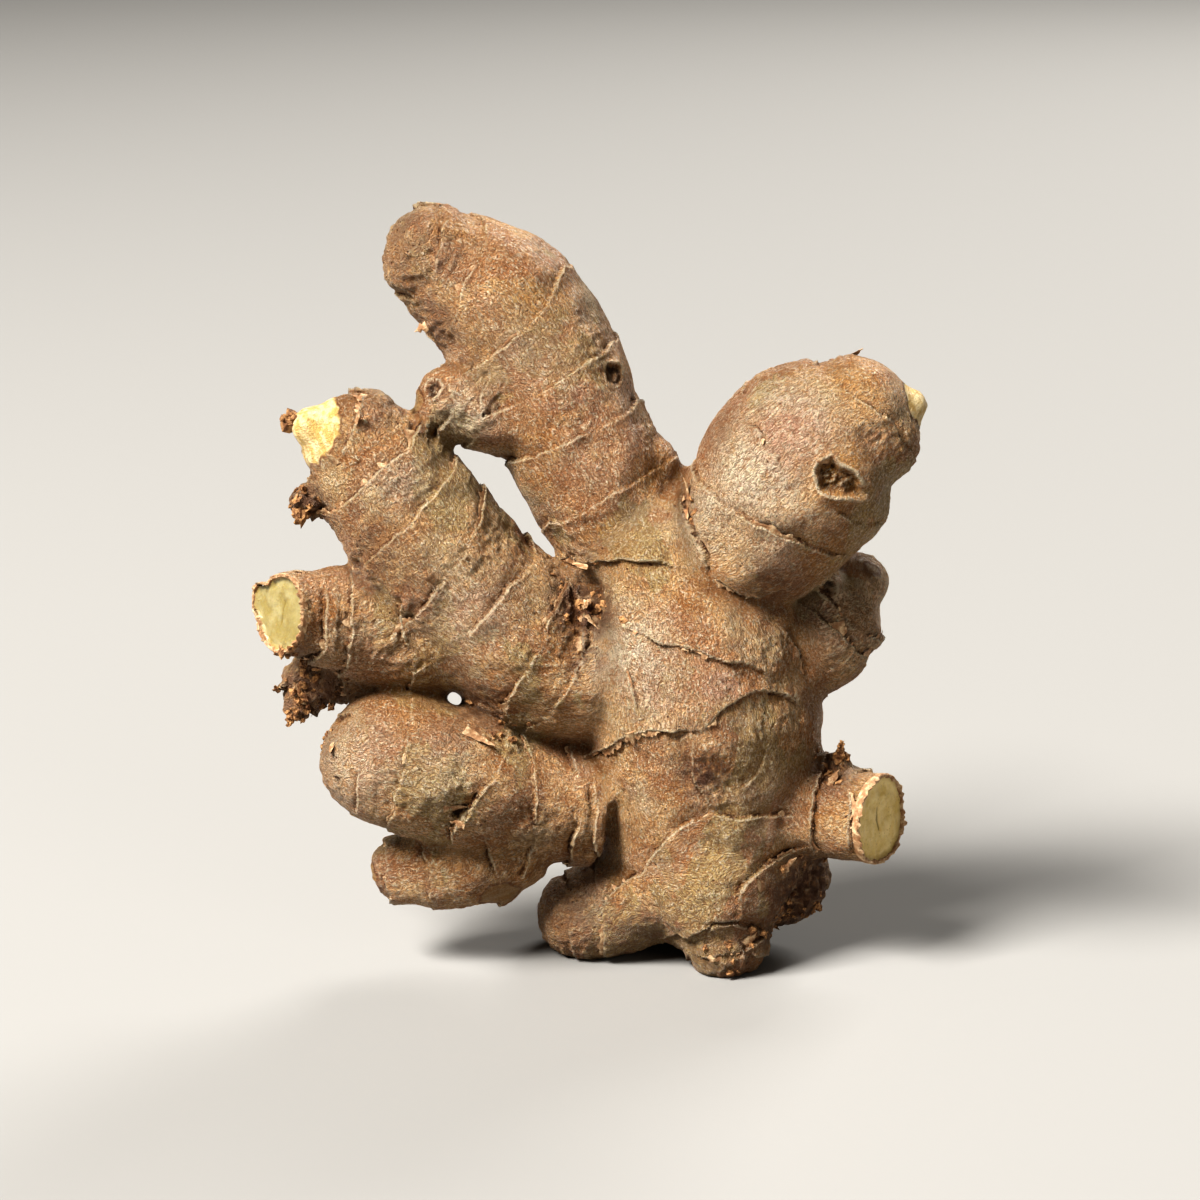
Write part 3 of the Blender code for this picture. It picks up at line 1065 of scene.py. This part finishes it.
# Cork grain: short wandering fibres along the limb, crossed by finer wrinkles, over a net of
# cells. Place and Grain are in millimetres, and Between is 1 where two limbs meet.
cork = bpy.data.node_groups.new("cork_grain", "ShaderNodeTree")
for socket_name in ("Place", "Grain"):
    cork.interface.new_socket(name=socket_name, in_out="INPUT", socket_type="NodeSocketVector")
cork.interface.new_socket(name="Between", in_out="INPUT", socket_type="NodeSocketFloat")
for socket_name in ("Height", "Creases", "Flecks"):
    cork.interface.new_socket(name=socket_name, in_out="OUTPUT", socket_type="NodeSocketFloat")
cork_in = cork.nodes.new("NodeGroupInput")
cork_out = cork.nodes.new("NodeGroupOutput")
bend = cork.nodes.new("ShaderNodeTexNoise")
bend.inputs["Scale"].default_value = 0.45
bend.inputs["Detail"].default_value = 3.0
cork.links.new(cork_in.outputs["Place"], bend.inputs["Vector"])
wander = cork.nodes.new("ShaderNodeVectorMath")
wander.operation = "MULTIPLY_ADD"
wander.inputs[1].default_value = (1.7, 1.7, 1.7)
cork.links.new(bend.outputs["Color"], wander.inputs[0])
cork.links.new(cork_in.outputs["Grain"], wander.inputs[2])
wandering = wander.outputs[0]
fibres = add_noise(cork, add_stretch(cork, wandering, (1, 1, 0.30)), 2.0, 3.0, 0.55)
fibres = add_math(cork, "ABSOLUTE", add_math(cork, "SUBTRACT", fibres, 0.5))
fibres = add_range(cork, fibres, 0.0, 0.13)
wrinkles = add_noise(cork, add_stretch(cork, wandering, (0.35, 0.35, 1)), 1.5, 3.0, 0.55)
wrinkles = add_math(cork, "ABSOLUTE", add_math(cork, "SUBTRACT", wrinkles, 0.5))
wrinkles = add_range(cork, wrinkles, 0.0, 0.12)
creases = add_math(cork, "MULTIPLY", fibres, add_math(cork, "MULTIPLY_ADD", wrinkles, 0.5, 0.5))
ridges = add_noise(cork, add_stretch(cork, wandering, (1, 1, 0.42)), 2.1, 5.0, 0.70)
net_ridges = add_noise(cork, add_stretch(cork, cork_in.outputs["Place"], (1, 1, 0.6)), 2.1, 5.0, 0.70)
apart = add_math(cork, "SUBTRACT", net_ridges, ridges)
ridges = add_math(cork, "MULTIPLY_ADD", apart, cork_in.outputs["Between"], ridges)
pores = add_noise(cork, cork_in.outputs["Place"], 2.4, 5.0, 0.74)
flecks = add_math(cork, "MULTIPLY_ADD", ridges, 0.65, add_math(cork, "MULTIPLY", pores, 0.65))
flecks = add_math(cork, "SUBTRACT", flecks, 0.15)
net = add_range(cork, add_cells(cork, wandering, 1.2, "DISTANCE_TO_EDGE"), 0.0, 0.2)
height = add_math(cork, "MULTIPLY_ADD", flecks, 1.5, add_math(cork, "MULTIPLY", creases, 0.30))
height = add_math(cork, "MULTIPLY_ADD", net, 0.14, height)
cork.links.new(height, cork_out.inputs["Height"])
cork.links.new(creases, cork_out.inputs["Creases"])
cork.links.new(flecks, cork_out.inputs["Flecks"])

SKIN_TAN = tone(234, 191, 138)
SKIN_PALE = tone(255, 241, 212)
SKIN_BROWN = tone(196, 140, 84)
SKIN_BEIGE = tone(230, 206, 162)
SKIN_ROSY = tone(218, 174, 146)
SKIN_OCHRE = tone(212, 156, 78)
SKIN_WORN = tone(190, 135, 94)
SKIN_GREEN = tone(202, 176, 122)
# The crease brown and the two soil colours below also serve as painted shade, in creases, in hollows and
# under the scars' edges.
CREASE_BROWN = tone(122, 72, 32)
SOIL_AND_SHADE_BROWN = tone(98, 58, 27)
HOLLOW_DARK = tone(46, 25, 11)
SCAR_STRAW = tone(232, 200, 152)
BARK_GREY = tone(158, 126, 102)
BUD_YELLOW = tone(222, 200, 154)
BUD_OCHRE = tone(204, 170, 104)

skin_paint, tree, shader = start_paint("ginger_skin")
place_mm = add_place_mm(tree)
read = {
    name: add_attribute(tree, name).outputs["Fac"]
    for name in ("scar_power", "scar_gap", "eye_dark", "fine_hollow", "wide_hollow", "young", "rough")
}
stain_and_light_masks = {name: add_attribute(tree, name).outputs["Fac"] for name in STAINS_AND_LIGHT_SPOTS}
cork_node = tree.nodes.new("ShaderNodeGroup")
cork_node.node_tree = cork
tree.links.new(place_mm, cork_node.inputs["Place"])
grain_place = add_attribute(tree, "grain").outputs["Vector"]
tree.links.new(grain_place, cork_node.inputs["Grain"])
tree.links.new(add_attribute(tree, "between").outputs["Fac"], cork_node.inputs["Between"])

# Clouded colour of the cork itself.
mottle = add_noise(tree, place_mm, 0.16, 7.0, 0.65)
patches = add_noise(tree, place_mm, 0.07, 4.0, 0.55)
blotch = add_noise(tree, place_mm, 0.6, 4.0, 0.6)
colour = add_mix(tree, add_range(tree, mottle, 0.36, 0.60), SKIN_BROWN, SKIN_TAN)
colour = add_mix(tree, add_range(tree, patches, 0.52, 0.66, 0, 0.6), colour, SKIN_BEIGE)

# Where the outer cork has worn through, thin-edged patches of browner or greener skin show.
worn = add_noise(tree, place_mm, 0.058, 7.0, 0.58)
worn_brown = add_range(tree, worn, 0.535, 0.555)
worn_green = add_noise(tree, add_stretch(tree, place_mm, (1, 1.3, 0.7)), 0.06, 7.0, 0.58)
worn_green = add_range(tree, add_math(tree, "MULTIPLY_ADD", stain_and_light_masks["green"], 0.12, worn_green), 0.56, 0.58)
colour = add_mix(tree, add_math(tree, "MULTIPLY", worn_brown, 0.6), colour, SKIN_WORN)
colour = add_mix(tree, add_math(tree, "MULTIPLY", worn_green, 0.75), colour, SKIN_GREEN)
# Pale spots: paler skin, with painted highlight on the faces turned to the key lamp.
pale = add_math(tree, "MULTIPLY", stain_and_light_masks["pale"], add_range(tree, blotch, 0.36, 0.56, 0.35, 1.0))
colour = add_mix(tree, pale, colour, SKIN_PALE)
rosy = add_math(tree, "ADD", stain_and_light_masks["rosy"], add_range(tree, patches, 0.48, 0.34, 0, 0.6))
rosy = add_math(tree, "MULTIPLY", rosy, add_range(tree, blotch, 0.3, 0.55, 0.3, 0.8))
colour = add_mix(tree, rosy, colour, SKIN_ROSY)
# Ochre stains, and painted shade that turns the broad hollows ochre.
ochre = add_math(tree, "ADD", stain_and_light_masks["ochre"], add_range(tree, read["wide_hollow"], 0.15, 0.9, 0, 0.8))
ochre = add_math(tree, "MULTIPLY", ochre, add_range(tree, blotch, 0.36, 0.6, 0.25, 0.95))
colour = add_mix(tree, ochre, colour, SKIN_OCHRE)
# Flecks that stand up in the bump are painted paler and those that sink browner: the cork's own flecks, with
# painted highlight and painted shade on them.
colour = add_mix(tree, add_range(tree, cork_node.outputs["Flecks"], 0.48, 0.64, 0, 0.85), colour, SKIN_PALE)
colour = add_mix(tree, add_range(tree, cork_node.outputs["Flecks"], 0.46, 0.32, 0, 0.7), colour, SKIN_BROWN)
# Painted shade: the cork's fine creases are darkened towards brown.
crease_shade = add_range(tree, cork_node.outputs["Creases"], 0.45, 0.0, 0, 0.55)
colour = add_mix(tree, crease_shade, colour, CREASE_BROWN)
# Small ridges are painted paler: rubbed wear, with a painted highlight along them.
colour = add_mix(tree, add_range(tree, read["fine_hollow"], -0.03, -0.16, 0, 0.55), colour, SKIN_PALE)

# Rough bark, and soil, which low on the foot is painted shade as well.
bark = add_math(tree, "MULTIPLY", read["rough"], add_range(tree, blotch, 0.35, 0.55, 0.3, 0.9))
colour = add_mix(tree, bark, colour, BARK_GREY)
soil = add_math(tree, "MULTIPLY", stain_and_light_masks["soil"], add_range(tree, blotch, 0.36, 0.58, 0.1, 0.95))
colour = add_mix(tree, soil, colour, SOIL_AND_SHADE_BROWN)
specks = add_range(tree, add_cells(tree, place_mm, 0.8, "F1"), 0.22, 0.10)
speck_places = add_math(tree, "ADD", add_math(tree, "MULTIPLY", read["scar_power"], 0.18), mottle)
speck_places = add_math(tree, "MULTIPLY_ADD", read["rough"], 0.25, speck_places)
specks = add_math(tree, "MULTIPLY", specks, add_range(tree, speck_places, 0.56, 0.72, 0, 0.85))
colour = add_mix(tree, specks, colour, SOIL_AND_SHADE_BROWN)

# Bare young buds, streaked along their length.
bud_streaks = add_noise(tree, add_stretch(tree, grain_place, (1, 1, 0.15)), 0.8)
bud_colour = add_mix(tree, add_range(tree, bud_streaks, 0.38, 0.60), BUD_OCHRE, BUD_YELLOW)
colour = add_mix(tree, add_range(tree, read["young"], 0.05, 0.3, 0, 0.7), colour, CREASE_BROWN)
colour = add_mix(tree, add_range(tree, read["young"], 0.3, 0.7), colour, bud_colour)

# Ring scars: a ragged pale edge, a thin dark line behind it that is a painted shadow under the edge, and a
# browner band beyond.
ragged = add_math(tree, "SUBTRACT", add_noise(tree, place_mm, 1.1, 5.0, 0.7), 0.5)
gap = add_math(tree, "MULTIPLY_ADD", ragged, 2.2, read["scar_gap"])
come_and_go = add_range(tree, add_noise(tree, place_mm, 0.28, 3.0, 0.6), 0.42, 0.62, 0.05, 1.0)
power = add_math(tree, "MULTIPLY", read["scar_power"], come_and_go)
past_edge = add_range(tree, gap, -0.05, 0.15)
edge = add_range(tree, add_math(tree, "ABSOLUTE", add_math(tree, "ADD", gap, 0.22)), 0.28, 0.06, 0, 0.5)
lip_shadow = add_range(tree, add_math(tree, "ABSOLUTE", add_math(tree, "SUBTRACT", gap, 0.22)), 0.30, 0.05)
band = add_math(tree, "MULTIPLY", past_edge, add_range(tree, gap, 2.6, 0.3, 0, 0.6))
colour = add_mix(tree, add_math(tree, "MULTIPLY", band, power), colour, SKIN_BROWN)
colour = add_mix(tree, add_math(tree, "MULTIPLY", edge, power), colour, SCAR_STRAW)
colour = add_mix(tree, add_math(tree, "MULTIPLY", lip_shadow, power), colour, SOIL_AND_SHADE_BROWN)
# Darker inside the sunken eyes and the torn pit.
eye_soil = add_math(tree, "MULTIPLY", read["eye_dark"], add_range(tree, blotch, 0.40, 0.58, 0.9, 0.5))
colour = add_mix(tree, eye_soil, colour, HOLLOW_DARK)
# Painted shade: browner in the small hollows, and darkest in the deep valleys, where soil lies as well.
colour = add_mix(tree, add_range(tree, read["fine_hollow"], 0.06, 0.30, 0, 0.8), colour, SOIL_AND_SHADE_BROWN)
colour = add_mix(tree, add_range(tree, read["wide_hollow"], 0.8, 2.0, 0, 0.9), colour, HOLLOW_DARK)
tree.links.new(colour, shader.inputs["Base Color"])

roughness = add_range(tree, cork_node.outputs["Flecks"], 0.35, 0.68, 0.60, 0.38)
tree.links.new(roughness, shader.inputs["Roughness"])
ledge = add_math(tree, "MULTIPLY", add_math(tree, "SUBTRACT", 1.0, past_edge), power)
height = add_math(tree, "MULTIPLY_ADD", ledge, 0.45, cork_node.outputs["Height"])
height = add_math(tree, "MULTIPLY_ADD", specks, -0.4, height)
height = add_math(tree, "MULTIPLY_ADD", worn_brown, -0.08, height)
height = add_math(tree, "MULTIPLY_ADD", worn_green, -0.08, height)
height = add_math(tree, "MULTIPLY", height, add_range(tree, read["young"], 0.1, 0.8, 1.0, 0.25))
tree.links.new(add_bump(tree, height, 0.0018), shader.inputs["Normal"])
shader.inputs["Specular IOR Level"].default_value = 0.5
shader.inputs["Subsurface Weight"].default_value = 0.05
shader.inputs["Subsurface Radius"].default_value = (0.0016, 0.0009, 0.0004)
shader.inputs["Subsurface Scale"].default_value = 1.0
skin.data.materials.append(skin_paint)
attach(skin, "root")
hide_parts("ginger_rhizome")


# ---------------------------------------------------------------------------------------------
# The broken ends: moist, pale yellow-green flesh with a faint core and a short split, sunk a
# little below the torn rim of skin around it.

# The two breaks get two tones of one flesh to offset the light: the side finger's break, which faces the key
# lamp, is painted darker, and the stub's, which faces away from it, paler.
FLESH_TONES_OFFSET_FOR_LIGHT = {
    "side_finger_break": {"pale": tone(152, 141, 102), "core": tone(136, 122, 76)},
    "cut_stub_break": {"pale": tone(224, 201, 142), "core": tone(208, 181, 110)},
}
FLESH_RIM = tone(150, 122, 62)
FLESH_SPLIT = tone(120, 102, 46)
FLESH_SINK = 0.6
SPLIT_HALF_LENGTH = 2.6


def paint_flesh(name, pale, core):
    """A material for the bare flesh of one break: clouded, dotted with cut fibres, darker at its rim."""
    paint, tree, shader = start_paint(name)
    place_mm = add_place_mm(tree)
    from_middle = add_attribute(tree, "from_middle").outputs["Fac"]
    split = add_attribute(tree, "split").outputs["Fac"]
    cloudy = add_noise(tree, place_mm, 0.35, 6.0, 0.6)
    fibre_ends = add_range(tree, add_cells(tree, place_mm, 1.1, "F1"), 0.30, 0.08, 0, 0.3)
    colour = add_mix(tree, add_range(tree, cloudy, 0.36, 0.62), core, pale)
    core_gap = add_math(tree, "ABSOLUTE", add_math(tree, "SUBTRACT", from_middle, 0.66))
    colour = add_mix(tree, add_range(tree, core_gap, 0.10, 0.0, 0, 0.35), colour, core)
    colour = add_mix(tree, fibre_ends, colour, FLESH_RIM)
    colour = add_mix(tree, add_range(tree, from_middle, 0.80, 1.0, 0, 0.8), colour, FLESH_RIM)
    colour = add_mix(tree, add_range(tree, split, 0.2, 0.9, 0, 0.7), colour, FLESH_SPLIT)
    tree.links.new(colour, shader.inputs["Base Color"])
    height = add_math(tree, "MULTIPLY_ADD", fibre_ends, 0.4, cloudy)
    tree.links.new(add_bump(tree, height, 0.0004), shader.inputs["Normal"])
    shader.inputs["Roughness"].default_value = 0.36
    shader.inputs["Subsurface Weight"].default_value = 0.25
    shader.inputs["Subsurface Radius"].default_value = (0.003, 0.002, 0.0008)
    shader.inputs["Subsurface Scale"].default_value = 1.0
    return paint


rim_rings = {}
for break_name, beyond in broken.items():
    faces = quads[np.all(beyond[quads], axis=1)]
    facing = np.array(BREAKS[break_name]["facing"])
    facing = facing / np.linalg.norm(facing)
    level = np.cross((0, 0, 1), facing)
    level /= np.linalg.norm(level)
    upward = np.cross(facing, level)
    used = np.unique(faces)
    middle = points[used].mean(0)
    offset = points - middle
    reach = np.linalg.norm(offset, axis=1)
    turn = np.arctan2(offset @ upward, offset @ level)
    turns = np.linspace(-math.pi, math.pi, 121)[:-1]
    away = np.abs((turn[used][None, :] - turns[:, None] + math.pi) % (2 * math.pi) - math.pi)
    edge_reach = np.where(away < 0.12, reach[used][None, :], 0).max(1)
    rim_rings[break_name] = (middle, level, upward, facing, turns, edge_reach)
    share = np.clip(reach / np.interp(turn, turns, edge_reach, period=2 * math.pi), 0, 1)
    across = offset @ level + 0.5 * noise_at(points, 1.5, 2.0)
    split_end = np.clip((SPLIT_HALF_LENGTH - np.abs(offset @ upward)) * 1.5, 0, 1)
    split = np.exp(-((across / 0.3) ** 2)) * split_end
    sunk = points.copy()
    uneven = 0.3 * noise_at(points, 3.0, 8.0) + 0.12 * noise_at(points, 0.9, 2.0) + 0.35 * split
    sunk[used] -= np.outer((FLESH_SINK + uneven[used]) * np.clip((1 - share[used]) * 6, 0, 1), facing)
    flesh, flesh_used = make_piece(break_name, faces, sunk)
    keep_values(flesh, flesh_used, from_middle=share, split=split)
    flesh.data.materials.append(paint_flesh(break_name + "_flesh", **FLESH_TONES_OFFSET_FOR_LIGHT[break_name]))
    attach(flesh, "root")


# ---------------------------------------------------------------------------------------------
# Loose scale edges: ragged paper-thin remains of the scale leaves, still held along their ring
# and lifting at the free edge, and the dry torn skin around the two breaks.

FLAKE_LENGTH = 1.7
FLAKE_LIFT = 0.34
RIM_SWELL = 0.75

final_tree = BVHTree.FromPolygons(points.tolist(), quads.tolist())
flakes = bmesh.new()


def add_strip(sections, closed):
    """A thin strip through cross-sections of five points each, or a closed ring of them."""
    if len(sections) < 2:
        return
    rows = [[flakes.verts.new(spot * MM) for spot in section] for section in sections]
    following = rows[1:] + rows[:1] if closed else rows[1:]
    for row, after in zip(rows, following):
        for i in range(5):
            j = (i + 1) % 5
            flakes.faces.new((row[i], row[j], after[j], after[i]))
    if not closed:
        flakes.faces.new(rows[0])
        flakes.faces.new(reversed(rows[-1]))


for number, scar in enumerate(scars):
    sections = []
    for k in range(len(scar.points)):
        along = k * SCAR_STEP
        here_strength = scar.strength[k]
        slow = noise.noise((along / 5.0, number * 7.3, 0.5))
        rag = noise.noise((along / 1.3, number * 2.1, 2.5))
        rag += 0.9 * noise.noise((along / 0.5, number * 3.1, 4.5))
        length = FLAKE_LENGTH * here_strength * (1.3 * slow + 0.6 * rag - 0.22)
        if length < 0.15:
            add_strip(sections, closed=False)
            sections = []
            continue
        length = min(length, 2.4)
        here, outward, _, _ = final_tree.find_nearest(Vector(scar.points[k]))
        towards = Vector(scar.towards[k])
        curl = 0.45 + 0.9 * noise.noise((along / 1.9, number * 5.7, 9.0))
        lift = FLAKE_LIFT * length * max(curl, 0.1)
        middle = here + towards * length * 0.45 + outward * (0.10 + lift * 0.35)
        edge = here + towards * length + outward * (0.05 + lift)
        spots = (
            here - towards * 0.3 - outward * 0.15,
            here - towards * 0.25 + outward * 0.04,
            middle + outward * 0.07,
            edge,
            middle - outward * 0.06,
        )
        sections.append(spots)
    add_strip(sections, closed=False)

for number, (middle, level, upward, facing, turns, edge_reach) in enumerate(rim_rings.values()):
    sections = []
    for turn, reach in zip(turns, edge_reach):
        way = math.cos(turn) * level + math.sin(turn) * upward
        around = (math.cos(turn) * 4, math.sin(turn) * 4, 11.0 * number)
        swell = RIM_SWELL * (0.35 + 1.1 * noise.noise(around) + 1.2 * noise.noise(Vector(around) * 2.7))
        swell = max(swell, 0.03)
        inward = 0.5 + 0.5 * noise.noise(Vector(around) * 1.9 + Vector((5, 5, 5)))
        sections.append((
            middle + way * (reach + 0.05) - facing * 1.1,
            middle + way * (reach + 0.2 * inward) - facing * 0.1,
            middle + way * (reach - 0.1) + facing * swell,
            middle + way * (reach - 0.25 - 0.6 * inward) + facing * (0.5 * swell),
            middle + way * (reach - 0.35 - 0.9 * inward) - facing * 0.9,
        ))
    add_strip(sections, closed=True)

# Larger loose flakes: where each is held, the way that it points, its length, width and curl.
LOOSE_FLAKES = [
    ((-21.5, -12, 46.0), (0.85, -0.25, -0.45), 6.0, 3.4, 1.2),
    ((40.0, -22, 97.6), (0.8, -0.2, -0.7), 3.4, 2.2, 0.7),
    ((-25.0, -18, 33.4), (1.0, -0.2, -0.25), 4.2, 2.4, 1.0),
    ((-22.0, -18, 30.6), (-0.8, -0.2, 0.3), 2.8, 1.8, 0.8),
    ((-3.0, -7, 74.0), (0.2, -0.6, 0.9), 3.2, 2.4, 1.0),
    ((-1.0, -9, 70.0), (0.9, -0.4, 0.3), 3.0, 2.2, 1.0),
    ((0.5, -9, 66.5), (0.5, -0.3, -0.9), 3.2, 2.0, 1.0),
    ((19.5, -7, 88.0), (-0.2, -0.3, 1.0), 4.2, 2.6, 1.2),
    ((19.0, -9, 83.5), (0.9, -0.5, 0.1), 2.8, 2.4, 1.0),
    ((33.0, -16, 18.0), (-0.7, -0.5, 0.7), 3.2, 2.6, 1.0),
    ((29.0, -15, 7.0), (0.8, -0.6, 0.5), 3.0, 2.6, 0.9),
    ((24.0, -15, 4.5), (-0.6, -0.6, 0.2), 2.6, 2.2, 0.9),
    ((37.0, -12, 20.0), (0.8, -0.4, 0.5), 3.0, 2.4, 1.0),
    ((43.5, -9, 36.0), (0.3, -0.4, 1.0), 3.4, 1.8, 0.9),
    ((-31.0, -4, 116.5), (-0.9, -0.3, -0.3), 2.6, 2.2, 0.9),
    ((-43.5, -10, 95.0), (-0.8, -0.5, 0.5), 2.8, 2.4, 0.9),
    ((-40.0, -13, 104.0), (0.5, -0.4, 0.8), 2.4, 1.8, 0.7),
    ((46.0, -7, 110.0), (0.6, -0.2, 0.8), 3.6, 3.0, 0.8),
    ((-45.5, -14, 44.0), (-0.8, -0.5, 0.4), 2.6, 2.2, 0.7),
    ((6.0, -18, 46.5), (0.3, -0.4, -0.9), 2.6, 2.8, 0.8),
    ((-30, 10, 70), (-0.5, 0.5, -0.6), 3.4, 2.4, 1.0),
    ((22, 20, 60), (0.6, 0.4, -0.5), 3.4, 2.4, 1.0),
]
FLAKE_ROWS = 7

for number, (held_at, way, length, width, curl) in enumerate(LOOSE_FLAKES):
    here, outward, _, _ = final_tree.find_nearest(Vector(held_at))
    onward = Vector(way) - outward * Vector(way).dot(outward)
    onward.normalize()
    sideways = outward.cross(onward)
    sections = []
    for row in range(FLAKE_ROWS):
        t = row / (FLAKE_ROWS - 1)
        left = 0.4 * width * (1 - t) ** 0.6 + 0.7 * noise.noise((t * 4.1, number * 4.4, 1.0)) + 0.05
        right = 0.4 * width * (1 - t) ** 0.6 + 0.7 * noise.noise((t * 4.1, number * 4.4, 5.0)) + 0.05
        left = max(left, 0.05)
        right = max(right, 0.05)
        lift = curl * (0.10 + 0.35 * t + 0.5 * t * t)
        spine = here + onward * (length * t - 0.4) + outward * lift
        droop = 0.25 * curl * (1 - 0.6 * t)
        sections.append((
            spine - sideways * left - outward * droop,
            spine - sideways * 0.4 * left + outward * 0.06,
            spine + sideways * 0.4 * right + outward * 0.06,
            spine + sideways * right - outward * droop,
            spine - outward * (0.05 + 0.2 * (1 - t)),
        ))
    add_strip(sections, closed=False)


def finish_bits(name, bits):
    """One mesh object from loose bits, kept inside the CAD model's box."""
    for spot in bits.verts:
        spot.co.x = min(max(spot.co.x, cad_low[0]), cad_high[0])
        spot.co.y = min(max(spot.co.y, cad_low[1]), cad_high[1])
        spot.co.z = min(max(spot.co.z, 0.0), cad_high[2])
    mesh = bpy.data.meshes.new(name)
    bits.to_mesh(mesh)
    bits.free()
    piece = bpy.data.objects.new(name, mesh)
    bpy.context.scene.collection.objects.link(piece)
    return piece


bmesh.ops.recalc_face_normals(flakes, faces=flakes.faces)
scale_edges = finish_bits("scale_edges", flakes)

FLAKE_STRAW = tone(208, 182, 146)
FLAKE_BROWN = tone(150, 112, 78)


def paint_dry(name, per_mm, spread, dark, light, depth, roughness):
    """A material for dry bits: two browns and a fine bump from one noise."""
    paint, tree, shader = start_paint(name)
    grit = add_noise(tree, add_place_mm(tree), per_mm, 6.0, 0.7)
    tree.links.new(add_mix(tree, add_range(tree, grit, *spread), dark, light), shader.inputs["Base Color"])
    tree.links.new(add_bump(tree, grit, depth), shader.inputs["Normal"])
    shader.inputs["Roughness"].default_value = roughness
    return paint


flake_paint = paint_dry("dry_scale_paper", 0.7, (0.42, 0.66), FLAKE_BROWN, FLAKE_STRAW, 0.0006, 0.6)
scale_edges.data.materials.append(flake_paint)
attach(scale_edges, "root")


# ---------------------------------------------------------------------------------------------
# Crumbs: dry bits of bark, soil and root stubs that cling where shoots and rootlets were rubbed
# off. Each is a small lumpy grain half sunk in the skin.

CRUMB_SPOTS = [
    (-50, -3, 50, 6.5, 50),
    (-50, -4, 85.5, 4.0, 18),
    (38, -3, 11, 8.0, 40),
    (26, -14, 4, 6.0, 14),
    (-1.5, -7, 67, 6.0, 30),
    (-16, -10, 47, 5.0, 14),
    (44.5, -5, 37, 3.5, 10),
    (-54, -12, 60, 4.0, 14),
    (20, -7, 87, 3.5, 10),
    (10, 20, 62, 5.0, 20),
    (25, 16, 5, 6.0, 20),
]
CRUMB_SIZES = (0.25, 0.8)
STUBS = [
    # Foot, direction, length and thickness of a rootlet's dry stub.
    ((45.6, -4, 38.6), (0.15, -0.2, 1), 3.0, 1.0),
    ((-50.5, -5.5, 84.0), (-0.5, -0.5, -0.8), 1.6, 1.3),
    ((-52.8, 0, 46.0), (-0.3, 0, -1), 1.8, 1.0),
    ((-52.3, -5.5, 101.5), (-1, -0.2, 0.3), 1.2, 1.4),
]

crumbs = bmesh.new()
dice = np.random.default_rng(12)


def add_crumb(place, outward, size, squash):
    """A lumpy grain at a place on the skin, flattened against it."""
    turn = Vector(outward).to_track_quat("Z", "Y").to_matrix().to_4x4()
    made = bmesh.ops.create_icosphere(crumbs, subdivisions=2, radius=size)
    shift = Vector(dice.uniform(-50, 50, 3))
    for vert in made["verts"]:
        bulge = 1 + 1.3 * noise.noise(vert.co * (1.3 / size) + shift)
        vert.co = turn @ Vector((vert.co.x, vert.co.y, vert.co.z * squash)) * bulge + Vector(place)


for x, y, z, radius, count in CRUMB_SPOTS:
    for _ in range(count):
        guess = Vector((x, y, z)) + Vector(dice.normal(0, radius * 0.55, 3))
        here, outward, _, _ = final_tree.find_nearest(guess)
        size = dice.uniform(*CRUMB_SIZES)
        squash = dice.uniform(0.3, 0.8)
        add_crumb(here, outward, size, squash)
for foot, way, length, thick in STUBS:
    here, _, _, _ = final_tree.find_nearest(Vector(foot))
    reach = Vector(way).normalized() * length
    for k in range(5):
        add_crumb(here + reach * k / 4, way, thick * (1 - 0.14 * k), 1.2)
for vert in crumbs.verts:
    vert.co *= MM
bark_crumbs = finish_bits("bark_crumbs", crumbs)

CRUMB_TAN = tone(186, 144, 98)
CRUMB_DARK = tone(112, 76, 46)
crumb_paint = paint_dry("dry_bark", 0.8, (0.40, 0.60), CRUMB_DARK, CRUMB_TAN, 0.0008, 0.7)
bark_crumbs.data.materials.append(crumb_paint)
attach(bark_crumbs, "root")
